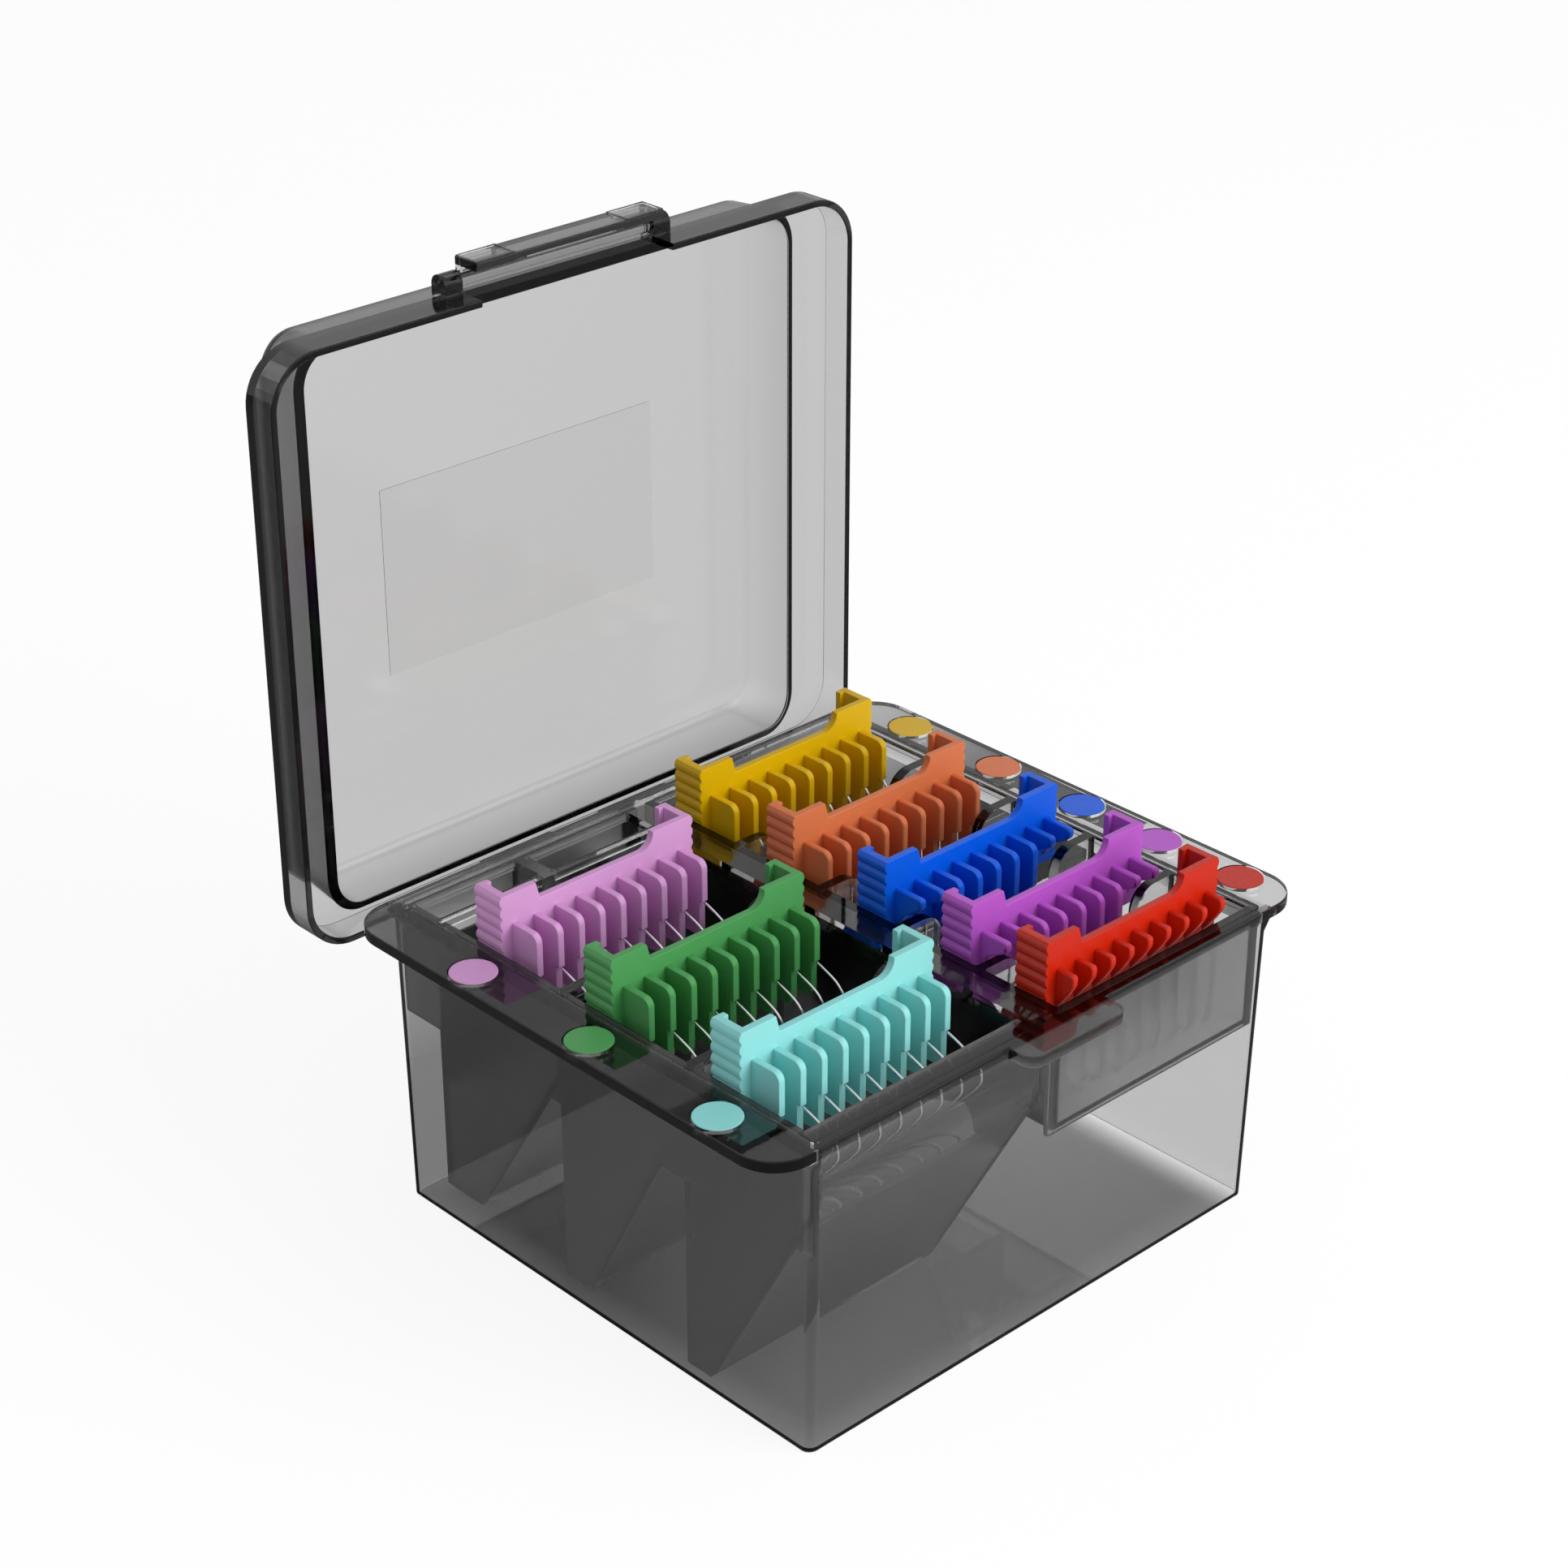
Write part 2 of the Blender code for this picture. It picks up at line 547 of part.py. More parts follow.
def make_latch(look):
    """The latch flap: barrel with stubs, plate, lip, grips and hooking bead."""
    barrel = cylinder("latch", "X", (LATCH_Y, LATCH_Z), LATCH_R, -LATCH_HALF, LATCH_HALF, 20)
    top = LATCH_Z + LATCH_T / 2
    plate = block(
        "flap", (-LATCH_HALF + 0.02, -LIP_FRONT, top - LATCH_T), (LATCH_HALF - 0.02, LATCH_Y, top)
    )
    lip = block(
        "lip", (-LATCH_HALF + 0.04, -LIP_FRONT + 0.02, LIP_FOOT), (LATCH_HALF - 0.04, -LIP_BACK, top - 0.02)
    )
    grips = []
    for side in (-1, 1):
        ends = sorted((side * GRIP_INNER, side * (LATCH_HALF - 0.06)))
        grips.append(block("grip", (ends[0], -GRIP_FRONT, LIP_FOOT + 0.6), (ends[1], -GRIP_BACK, top - 0.1)))
    bead = prism(
        "bead",
        [(-LIP_BACK - 0.5, LIP_FOOT + 0.02), (-BEAD_BACK, LIP_FOOT + 0.3), (-BEAD_BACK, BEAD_TOP),
         (-LIP_BACK - 0.5, BEAD_TOP + 0.5)],
        "X", -BEAD_HALF, BEAD_HALF,
    )
    stub = LATCH_HALF + LATCH_SIDE_GAP + STUB_LENGTH - 0.5
    stubs = cylinder("stubs", "X", (LATCH_Y, LATCH_Z), STUB_R, -stub, stub, 20)
    combine(barrel, [plate, lip] + grips + [bead, stubs], "UNION")
    stand_open(barrel)
    pivot = open_turn() @ Vector((0.0, LATCH_Y, LATCH_Z))
    return finish(barrel, "latch", look, tuple(pivot))


def finger_cut(low, high, floor, y_low, y_high):
    """A U-shaped cut with rounded shoulders and a rounded floor."""
    shoulder = CASE_HEIGHT - FINGER_R
    outline = [(low - FINGER_R, CASE_HEIGHT + 3.0)]
    outline += [(low - FINGER_R, CASE_HEIGHT + 0.01)]
    outline += arc((low - FINGER_R, shoulder), FINGER_R, 90, 0, FINGER_STEPS)[1:]
    outline += arc((low + FINGER_R, floor + FINGER_R), FINGER_R, 180, 270, FINGER_STEPS)
    outline += arc((high - FINGER_R, floor + FINGER_R), FINGER_R, 270, 360, FINGER_STEPS)
    outline += arc((high + FINGER_R, shoulder), FINGER_R, 180, 90, FINGER_STEPS)[:-1]
    outline += [(high + FINGER_R, CASE_HEIGHT + 0.01), (high + FINGER_R, CASE_HEIGHT + 3.0)]
    return prism("finger", outline, "Y", y_low, y_high)


def insert_body():
    """The whole insert in one solid: deck, skirts, troughs and pockets with finger cuts."""
    half_x, half_y = INSERT_HALF
    top = CASE_HEIGHT
    wall = INSERT_T
    under = top - 0.5
    body = block("insert", (-half_x, -half_y, top - DECK_T), (half_x, half_y, top))
    parts = [
        block("left", (-half_x + 0.01, -half_y + 0.01, LEFT_SKIRT_FOOT), (LEFT_EDGE, half_y - 0.01, under)),
        block("front", (-half_x + 0.02, -half_y + 0.02, FRONT_SKIRT_FOOT), (0.0, FRONT_EDGE, under)),
        block("back", (-half_x + 0.03, BACK_EDGE, FRONT_SKIRT_FOOT), (0.0, half_y - 0.03, under)),
        block("fore", (0.5, -half_y + 0.04, RIGHT_SKIRT_FOOT), (half_x - 0.02, FRONT_EDGE, under + 0.1)),
        block(
            "right",
            (RIGHT_EDGE, -half_y + 0.05, RIGHT_SKIRT_FOOT),
            (half_x - 0.03, half_y - 0.05, under + 0.1),
        ),
    ]
    slot_low = TROUGHS[0][0] + wall + SLOT_LAND
    near = (CHEEK_X - CHEEK_HALF, slot_low - 1.2, FRONT_SKIRT_FOOT + 1.0)
    far = (CHEEK_X + CHEEK_HALF, half_y - CHEEK_LAND, top - 0.3)
    parts.append(block("cheek", near, far))
    hollows = []
    for n, (back, floor_front, floor, front, knee) in enumerate(TROUGHS):
        skin = 0.03 * n
        face = max(front - wall * 1.1, -half_y + 0.1)
        outline = [(back + wall, top - 0.6), (back + wall, floor - wall)]
        outline += [(floor_front - wall * 0.6, floor - wall)]
        outline += [(face, knee - wall * 0.6), (face, top - 0.6)]
        parts.append(prism("trough", outline, "X", -half_x + 0.04 + skin, SPINE[0] + wall + skin))
        inner = [(back, top + 3.0), (back, floor), (floor_front, floor), (front, knee), (front, top + 3.0)]
        hollows.append(prism("wedge", inner, "X", LEFT_EDGE, SPINE[0]))
    for n, (back, front, floor) in enumerate(POCKETS):
        skin = 0.03 * n
        low = (SPINE[1] - wall - skin, max(front - wall, -half_y + 0.2 + skin), floor - wall)
        high = (RIGHT_EDGE + wall + skin, min(back + wall, half_y - 0.2 - skin), top - 0.6)
        parts.append(block("pocket", low, high))
        hollows.append(block("well", (SPINE[1], front, floor), (RIGHT_EDGE, back, top + 3.0)))
    combine(body, parts, "UNION")
    combine(body, hollows, "DIFFERENCE")
    low, high, floor = LEFT_FINGER_CUT
    cuts = [
        finger_cut(low, high, floor, TROUGHS[1][0] - 1.0, TROUGHS[0][3] + 1.0),
        finger_cut(low, high, floor, TROUGHS[2][0] - 1.0, TROUGHS[1][3] + 1.0),
    ]
    low, high, floor = RIGHT_FINGER_CUT
    for n in range(len(POCKETS) - 1):
        cut_floor = max(floor, POCKETS[n + 1][2] + 1.0)
        cuts.append(finger_cut(low, high, cut_floor, POCKETS[n + 1][0] - 1.0, POCKETS[n][1] + 1.0))
    slot_foot = top - DECK_T - 1.0
    for low, high in ((LEFT_EDGE, CHEEK_X - CHEEK_HALF), (CHEEK_X + CHEEK_HALF, SPINE[0])):
        cuts.append(block("slot", (low, slot_low, slot_foot), (high, BACK_SLOT_FAR, top + 3.0)))
    return combine(body, cuts, "DIFFERENCE")


def well_cells():
    """The share of the insert around each comb, as ranges in X and Y, in the order of COMBS."""
    beyond = 2 * max(INSERT_HALF)
    cells = []
    for rows, back, front, low, high in ((TROUGHS, 0, 3, -beyond, 0.0), (POCKETS, 0, 1, 0.0, beyond)):
        splits = [(rows[n][front] + rows[n + 1][back]) / 2 for n in range(len(rows) - 1)]
        edges = [beyond] + splits + [-beyond]
        cells += [((low, high), (edges[n + 1], edges[n])) for n in range(len(rows))]
    return cells


def make_insert(look):
    """The insert as one well for each comb, each with its part of the deck, walls and skirts."""
    whole = insert_body()
    for comb, (across, along) in zip(COMBS, well_cells()):
        well = whole.copy()
        well.data = whole.data.copy()
        bpy.context.scene.collection.objects.link(well)
        cell = block("cell", (across[0], along[0], -1.0), (across[1], along[1], 2 * CASE_HEIGHT))
        combine(well, [cell], "INTERSECT")
        finish(well, "insert_" + comb.name, look)
    bpy.data.objects.remove(whole, do_unlink=True)


def comb_plate():
    """The comb's front plate with its two ears, as an outline across X and Z."""
    inner = COMB_WIDTH - RIGHT_EAR
    outline = [(0.5, COMB_FOOT), (COMB_WIDTH - 0.5, COMB_FOOT), (COMB_WIDTH - 0.5, EAR_TOP)]
    outline += [(inner, EAR_TOP)]
    outline += arc((inner - EAR_FILLET, COMB_EDGE + EAR_FILLET), EAR_FILLET, 0, -90, 4)
    outline += [(LEFT_EAR + LEFT_EAR_SLOPE, COMB_EDGE), (LEFT_EAR, EAR_TOP), (0.5, EAR_TOP)]
    return outline


def comb_side(mirrored):
    """One side wall with its grip ridges, as an outline across X and Z."""
    pitch = (EAR_TOP - COMB_FOOT) / RIDGE_COUNT
    outline = [(PLATE_T + RIDGE_DEPTH, EAR_TOP - 0.02), (PLATE_T + RIDGE_DEPTH, COMB_FOOT + 0.02)]
    for n in range(RIDGE_COUNT):
        low = COMB_FOOT + 0.02 + n * pitch
        outline += [(RIDGE_DEPTH, low), (0.0, low + pitch * 0.35), (0.0, low + pitch * 0.6)]
    outline += [(RIDGE_DEPTH, EAR_TOP - 0.02)]
    return [(COMB_WIDTH - x, z) for x, z in outline] if mirrored else outline


def long_rib(reach, web):
    """A full rib: fin with a rounded nose over a set-back web, as forward distance and height."""
    outline = [(-JOIN, COMB_FOOT + 0.3), (0.3, COMB_FOOT + 0.3), (0.3, WEB_FOOT), (web - 1.6, WEB_FOOT)]
    outline += [(web - 0.3, WEB_FOOT + 1.3), (web, RIB_FOOT), (reach, RIB_FOOT)]
    outline += arc((reach - RIB_R, RIB_TOP - RIB_R), RIB_R, 0, 90, 3)
    outline += [(-JOIN, RIB_TOP)]
    return outline


def short_rib(reach, clear):
    """A rib cut away below so that it stands over a wall that starts this far ahead of the plate."""
    over = CASE_HEIGHT + 0.5
    outline = [(-JOIN, COMB_FOOT + 1.2), (0.2, COMB_FOOT + 1.2), (clear - 0.5, over - 2.2)]
    outline += [(clear - 0.4, over), (reach - 1.5, over + 0.2)]
    outline += arc((reach - RIB_R, RIB_TOP - RIB_R), RIB_R, -25, 90, 4)
    outline += [(-JOIN, RIB_TOP)]
    return outline


def rib_places():
    return [RIB_FIRST + n * RIB_PITCH for n in range(RIB_COUNT)]


def make_comb_body(comb, look):
    body = prism("comb", comb_plate(), "Y", 0.0, PLATE_T)
    parts = [
        prism("side", comb_side(False), "Y", 0.03, SIDE_DEPTH),
        prism("side", comb_side(True), "Y", 0.03, SIDE_DEPTH),
        block(
            "lip",
            (RIDGE_DEPTH + 0.2, SIDE_DEPTH - LIP_T, COMB_FOOT + 0.04),
            (LIP_WIDTH, SIDE_DEPTH - 0.02, EAR_TOP - 0.04),
        ),
        block(
            "lip",
            (COMB_WIDTH - LIP_WIDTH, SIDE_DEPTH - LIP_T, COMB_FOOT + 0.04),
            (COMB_WIDTH - RIDGE_DEPTH - 0.2, SIDE_DEPTH - 0.02, EAR_TOP - 0.04),
        ),
    ]
    for n, x in enumerate(rib_places()):
        if n in comb.short_ribs:
            profile = short_rib(comb.rib_reach, comb.clear)
        else:
            profile = long_rib(comb.rib_reach, comb.web)
        outline = [(-ahead, z) for ahead, z in profile]
        parts.append(prism("rib", outline, "X", x - RIB_T / 2, x + RIB_T / 2))
    combine(body, parts, "UNION")
    finish(body, "comb_" + comb.name, look)
    body.location = Vector((comb.x, comb.y, 0.0)) * MM
    return body


def tine_path(comb, short):
    """The bent wire of one tine, from its free end at the rib to the bar behind the plate."""
    tip_ahead, tip_z = comb.tip
    end = (-BAR_Y, BAR_Z)
    if short:
        ahead = min(comb.clear - TINE_R - TINE_GAP - 0.15, comb.reach)
        path = [(ahead, COMB_FOOT - 0.4), (ahead, tip_z + 3.2), (ahead - 0.6, tip_z + 1.2)]
        middle = (ahead + tip_ahead) / 2 - 0.6
        path += [(middle, tip_z), (tip_ahead - 0.2, tip_z + 1.2), (-BAR_Y, tip_z + 3.4)]
        return path + [end]
    start = (comb.web + TINE_R + TINE_GAP, RIB_FOOT - 0.4)
    spread = comb.reach - start[0]
    path = [start, (start[0] + spread * 0.35, start[1] - 0.75 - spread * 0.02)]
    path += [(start[0] + spread * 0.72, start[1] - 2.4), (start[0] + spread * 0.94, start[1] - 5.4)]
    path += [(comb.reach, start[1] - 9.0)] if spread > 4 else []
    path += [(tip_ahead + 2.6, tip_z + 3.0), (tip_ahead + 1.2, tip_z + 0.7), (tip_ahead, tip_z)]
    path += [(tip_ahead - 0.9, tip_z + 1.1), (tip_ahead - 0.6, tip_z + 4.5)]
    return path + [end]


def make_wire(path, x):
    """A round wire along a path in the plane at x, with mitred bends."""
    points = [Vector((x, -ahead, z)) for ahead, z in path]
    rings = []
    for n, point in enumerate(points):
        before = (point - points[n - 1]).normalized() if n else (points[1] - point).normalized()
        after = (points[n + 1] - point).normalized() if n + 1 < len(points) else before
        along = (before + after).normalized()
        side = Vector((1.0, 0.0, 0.0))
        up = side.cross(along).normalized()
        stretch = 1.0 / max(along.dot(before), 0.5)
        loop = []
        for i in range(TINE_SIDES):
            turn = 2 * math.pi * i / TINE_SIDES
            loop.append(point + side * TINE_R * math.cos(turn) + up * TINE_R * stretch * math.sin(turn))
        rings.append([tuple(p) for p in loop])
    return loft("wire", rings)


def make_tines(comb, look):
    bar = cylinder("bar", "X", (BAR_Y, BAR_Z), BAR_R, BAR_END, COMB_WIDTH - BAR_END, 8)
    wires = []
    for n, x in enumerate(rib_places()):
        wires.append(make_wire(tine_path(comb, n in comb.short_ribs), x))
    combine(bar, wires, "UNION")
    finish(bar, "tines_" + comb.name, look, smooth_deg=60.0)
    bar.location = Vector((comb.x, comb.y, 0.0)) * MM
    return bar


def main():
    clear_scene()
    smoke = material("smoke_plastic", SMOKE, 0.08)
    steel = material("tine_steel", STEEL, 0.25, 1.0)
    dark = material("pin_steel", BLACK, 0.3, 1.0)
    looks = {comb.name: material("plastic_" + comb.name, comb.colour, 0.4) for comb in COMBS}
    make_case(smoke)
    make_hinge_pin(dark)
    make_dots(looks)
    make_lid(smoke)
    make_latch(smoke)
    make_insert(smoke)
    for comb in COMBS:
        make_comb_body(comb, looks[comb.name])
        make_tines(comb, steel)


main()
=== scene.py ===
"""Boxed set of guard combs: finer pieces, finishes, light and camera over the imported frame.

The case stands on the ground with its centre at the origin. X runs along the front, Y from the front to
the hinge at the back, and Z points up. Sizes in the classes are in millimetres. The lid and the latch are
modelled shut and then turned about the hinge to stand open.
"""

from __future__ import annotations

import logging
import math
from contextlib import contextmanager
from dataclasses import dataclass, field
from enum import Enum
from typing import Callable, Iterator, Sequence

import bmesh
import bpy
from mathutils import Matrix, Vector


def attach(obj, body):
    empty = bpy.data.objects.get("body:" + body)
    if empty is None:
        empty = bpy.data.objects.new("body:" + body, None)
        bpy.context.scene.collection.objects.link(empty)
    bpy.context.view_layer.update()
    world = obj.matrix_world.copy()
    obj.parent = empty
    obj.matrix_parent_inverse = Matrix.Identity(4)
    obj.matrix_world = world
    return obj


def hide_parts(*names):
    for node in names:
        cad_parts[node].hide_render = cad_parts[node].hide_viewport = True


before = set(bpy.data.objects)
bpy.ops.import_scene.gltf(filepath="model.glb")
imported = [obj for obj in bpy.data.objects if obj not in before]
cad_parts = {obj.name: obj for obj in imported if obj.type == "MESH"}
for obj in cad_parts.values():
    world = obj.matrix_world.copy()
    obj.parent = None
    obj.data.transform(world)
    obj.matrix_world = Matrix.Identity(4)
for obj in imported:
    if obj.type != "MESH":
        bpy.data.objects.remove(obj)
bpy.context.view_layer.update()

MM = 0.001
LOG = logging.getLogger("comb_set")

Triple = Sequence[float]
Test = Callable[[Vector, Vector], bool]


class Axis(Enum):
    """The axis that a rod runs along, with the turn that lays a standing rod along it."""

    X = (0.0, math.pi / 2, 0.0)
    Y = (math.pi / 2, 0.0, 0.0)
    Z = (0.0, 0.0, 0.0)


class Pick(Enum):
    """What is selected in edit mode."""

    POINT = "VERT"
    EDGE = "EDGE"
    FACE = "FACE"


class Join(Enum):
    """How a tool is combined with a piece."""

    ADD = "UNION"
    CUT = "DIFFERENCE"


class Bench:
    """Modelling moves made with Blender's operators. Every length is in millimetres."""

    @staticmethod
    def clear() -> None:
        """Deselects every object."""
        bpy.ops.object.select_all(action="DESELECT")

    @classmethod
    def hold(cls, piece: bpy.types.Object) -> None:
        """Makes one piece the only selected and the active object.

        Args:
            piece: the object to work on.
        """
        cls.clear()
        piece.select_set(True)
        bpy.context.view_layer.objects.active = piece

    @classmethod
    def _added(cls, name: str) -> bpy.types.Object:
        """Names the primitive just added and applies its place.

        Args:
            name: the name to give it.

        Returns:
            The named object.
        """
        piece = bpy.context.object
        piece.name = piece.data.name = name
        bpy.ops.object.transform_apply(location=True, rotation=True, scale=True)
        return piece

    @classmethod
    def block(cls, name: str, low: Triple, high: Triple) -> bpy.types.Object:
        """Adds a box between two corners.

        Args:
            name: the box's name.
            low: its lowest corner.
            high: its highest corner.

        Returns:
            The box.
        """
        cls.clear()
        middle = [(a + b) / 2 * MM for a, b in zip(low, high)]
        bpy.ops.mesh.primitive_cube_add(size=1.0, location=middle)
        bpy.context.object.scale = [(b - a) * MM for a, b in zip(low, high)]
        return cls._added(name)

    @classmethod
    def rod(
        cls, name: str, along: Axis, middle: Triple, radius: float, length: float, sides: int = 48
    ) -> bpy.types.Object:
        """Adds a round rod.

        Args:
            name: the rod's name.
            along: the axis it lies along.
            middle: its middle point.
            radius: its radius.
            length: its length.
            sides: how many sides its outline has.

        Returns:
            The rod.
        """
        cls.clear()
        bpy.ops.mesh.primitive_cylinder_add(
            vertices=sides,
            radius=radius * MM,
            depth=length * MM,
            location=[v * MM for v in middle],
            rotation=along.value,
        )
        return cls._added(name)

    @classmethod
    @contextmanager
    def editing(cls, piece: bpy.types.Object, pick: Pick) -> Iterator[None]:
        """Opens a piece in edit mode with nothing selected, and closes it afterwards.

        Args:
            piece: the object to edit.
            pick: what the selection works on.
        """
        cls.hold(piece)
        bpy.ops.object.mode_set(mode="EDIT")
        bpy.ops.mesh.select_mode(type=pick.value)
        bpy.ops.mesh.select_all(action="DESELECT")
        yield
        bpy.ops.object.mode_set(mode="OBJECT")

    @staticmethod
    def choose(piece: bpy.types.Object, pick: Pick, test: Test) -> int:
        """Selects points, edges or faces by their place and direction.

        Args:
            piece: the object in edit mode.
            pick: what is selected.
            test: takes the place in millimetres, and an edge's direction or a normal.

        Returns:
            How many were selected.
        """
        mesh = bmesh.from_edit_mesh(piece.data)
        mesh.normal_update()
        found = 0
        if pick is Pick.POINT:
            items = [(v, v.co, v.normal) for v in mesh.verts]
        elif pick is Pick.EDGE:
            items = [
                (e, (e.verts[0].co + e.verts[1].co) / 2, (e.verts[1].co - e.verts[0].co).normalized())
                for e in mesh.edges
            ]
        else:
            items = [(f, f.calc_center_median(), f.normal) for f in mesh.faces]
        for item, place, way in items:
            if test(place / MM, way):
                item.select = True
                found += 1
        mesh.select_flush_mode()
        bmesh.update_edit_mesh(piece.data)
        return found

    @classmethod
    def round_edges(cls, piece: bpy.types.Object, radius: float, steps: int, test: Test) -> None:
        """Rounds the edges that pass a test.

        Args:
            piece: the object to shape.
            radius: the rounding's radius.
            steps: how many facets it has.
            test: takes an edge's middle and direction.
        """
        with cls.editing(piece, Pick.EDGE):
            if cls.choose(piece, Pick.EDGE, test):
                bpy.ops.mesh.bevel(
                    offset=radius * MM, segments=steps, profile=0.5, affect="EDGES", clamp_overlap=True
                )

    @classmethod
    def round_sharp(cls, piece: bpy.types.Object, radius: float, steps: int, test: Test) -> None:
        """Rounds the edges that pass a test and whose faces meet at more than 50 degrees.

        Args:
            piece: the object to shape.
            radius: the rounding's radius.
            steps: how many facets it has.
            test: takes an edge's middle and direction.
        """
        with cls.editing(piece, Pick.EDGE):
            bpy.ops.mesh.edges_select_sharp(sharpness=math.radians(50.0))
            mesh = bmesh.from_edit_mesh(piece.data)
            for edge in mesh.edges:
                low, high = (v.co / MM for v in edge.verts)
                if edge.select and not test((low + high) / 2, (high - low).normalized()):
                    edge.select = False
            mesh.select_flush_mode()
            bpy.ops.mesh.bevel(
                offset=radius * MM, segments=steps, profile=0.5, affect="EDGES", clamp_overlap=True
            )

    @classmethod
    def push(cls, piece: bpy.types.Object, inset: float, move: Triple, test: Test) -> None:
        """Insets the faces that pass a test and extrudes them.

        Args:
            piece: the object to shape.
            inset: how far the faces are inset first.
            move: how far they are carried.
            test: takes a face's centre and normal.
        """
        with cls.editing(piece, Pick.FACE):
            cls.choose(piece, Pick.FACE, test)
            if inset:
                bpy.ops.mesh.inset(thickness=inset * MM, depth=0.0, use_even_offset=True)
            if any(move):
                bpy.ops.mesh.extrude_region_move(
                    TRANSFORM_OT_translate={"value": [v * MM for v in move]}
                )

    @classmethod
    def shift(cls, piece: bpy.types.Object, move: Triple, test: Test) -> None:
        """Moves the points that pass a test.

        Args:
            piece: the object to shape.
            move: how far they move.
            test: takes a point's place and normal.
        """
        with cls.editing(piece, Pick.POINT):
            if cls.choose(piece, Pick.POINT, test):
                bpy.ops.transform.translate(value=[v * MM for v in move])

    @classmethod
    def stretch(cls, piece: bpy.types.Object, factor: Triple, centre: Triple, test: Test) -> None:
        """Scales the points that pass a test about a centre.

        Args:
            piece: the object to shape.
            factor: the scale along each axis.
            centre: the point that stays.
            test: takes a point's place and normal.
        """
        with cls.editing(piece, Pick.POINT):
            if cls.choose(piece, Pick.POINT, test):
                bpy.ops.transform.resize(value=factor, center_override=[v * MM for v in centre])

    @classmethod
    def slice(cls, piece: bpy.types.Object, point: Triple, normal: Triple) -> None:
        """Adds a ring of edges where a plane crosses the whole piece.

        Args:
            piece: the object to shape.
            point: a point on the plane.
            normal: the plane's normal.
        """
        with cls.editing(piece, Pick.FACE):
            bpy.ops.mesh.select_all(action="SELECT")
            bpy.ops.mesh.bisect(plane_co=[v * MM for v in point], plane_no=normal)

    @classmethod
    def combine(cls, piece: bpy.types.Object, tools: Sequence[bpy.types.Object], how: Join) -> None:
        """Joins tools to a piece, or cuts them from it, and removes them.

        Args:
            piece: the object to shape.
            tools: the objects to use up.
            how: whether they are added or cut away.
        """
        for tool in tools:
            step = piece.modifiers.new("combine", "BOOLEAN")
            step.operation = how.value
            step.solver = "EXACT"
            step.object = tool
            cls.hold(piece)
            bpy.ops.object.modifier_apply(modifier=step.name)
            spent = tool.data
            bpy.data.objects.remove(tool, do_unlink=True)
            bpy.data.meshes.remove(spent)

    @classmethod
    def soften(cls, piece: bpy.types.Object, width: float, steps: int, angle_deg: float = 30.0) -> None:
        """Rounds every edge sharper than an angle with a bevel modifier.

        Args:
            piece: the object to shape.
            width: the rounding's width.
            steps: how many facets it has.
            angle_deg: the least angle that is rounded.
        """
        step = piece.modifiers.new("soften", "BEVEL")
        step.width = width * MM
        step.segments = steps
        step.limit_method = "ANGLE"
        step.angle_limit = math.radians(angle_deg)
        cls.hold(piece)
        bpy.ops.object.modifier_apply(modifier=step.name)

    @classmethod
    def copy(cls, piece: bpy.types.Object, move: Triple) -> bpy.types.Object:
        """Copies a piece with its own mesh and moves the copy.

        Args:
            piece: the object to copy.
            move: how far the copy moves.

        Returns:
            The copy, with its place applied.
        """
        cls.hold(piece)
        bpy.ops.object.duplicate(linked=False)
        twin = bpy.context.object
        twin.location = Vector(move) * MM
        bpy.ops.object.transform_apply(location=True, rotation=True, scale=True)
        return twin

    @classmethod
    def weld(cls, name: str, parts: Sequence[bpy.types.Object]) -> bpy.types.Object:
        """Joins closed shells into one object.

        Args:
            name: the joined object's name.
            parts: the objects to join, the first of which is kept.

        Returns:
            The joined object.
        """
        cls.clear()
        for part in parts:
            part.select_set(True)
        bpy.context.view_layer.objects.active = parts[0]
        if len(parts) > 1:
            bpy.ops.object.join()
        parts[0].name = parts[0].data.name = name
        return parts[0]

    @classmethod
    def drop(cls, piece: bpy.types.Object) -> None:
        """Removes a pattern piece once its copies are made.

        Args:
            piece: the object to remove.
        """
        spent = piece.data
        bpy.data.objects.remove(piece, do_unlink=True)
        bpy.data.meshes.remove(spent)

    @classmethod
    def turn_open(cls, piece: bpy.types.Object, pivot: Triple, angle_deg: float) -> None:
        """Turns a piece that was modelled shut about the hinge.

        Args:
            piece: the object to turn.
            pivot: a point on the hinge's axis.
            angle_deg: the turn about X.
        """
        centre = Vector(pivot) * MM
        turn = Matrix.Rotation(math.radians(angle_deg), 4, "X")
        piece.matrix_world = Matrix.Translation(centre) @ turn @ Matrix.Translation(-centre)
        cls.hold(piece)
        bpy.ops.object.transform_apply(location=True, rotation=True, scale=True)

    @classmethod
    def finish(cls, piece: bpy.types.Object, name: str, angle_deg: float = 30.0) -> bpy.types.Object:
        """Merges doubles, turns faces outwards and shades a piece smooth below an angle.

        Args:
            piece: the object to finish.
            name: its name.
            angle_deg: edges sharper than this stay sharp.

        Returns:
            The finished object.
        """
        with cls.editing(piece, Pick.POINT):
            bpy.ops.mesh.select_all(action="SELECT")
            bpy.ops.mesh.remove_doubles(threshold=0.000002)
            bpy.ops.mesh.normals_make_consistent(inside=False)
        cls.hold(piece)
        bpy.ops.object.shade_smooth_by_angle(angle=math.radians(angle_deg))
        step = piece.modifiers.new("level", "WEIGHTED_NORMAL")
        step.keep_sharp = True
        bpy.ops.object.modifier_apply(modifier=step.name)
        piece.name = piece.data.name = name
        return piece


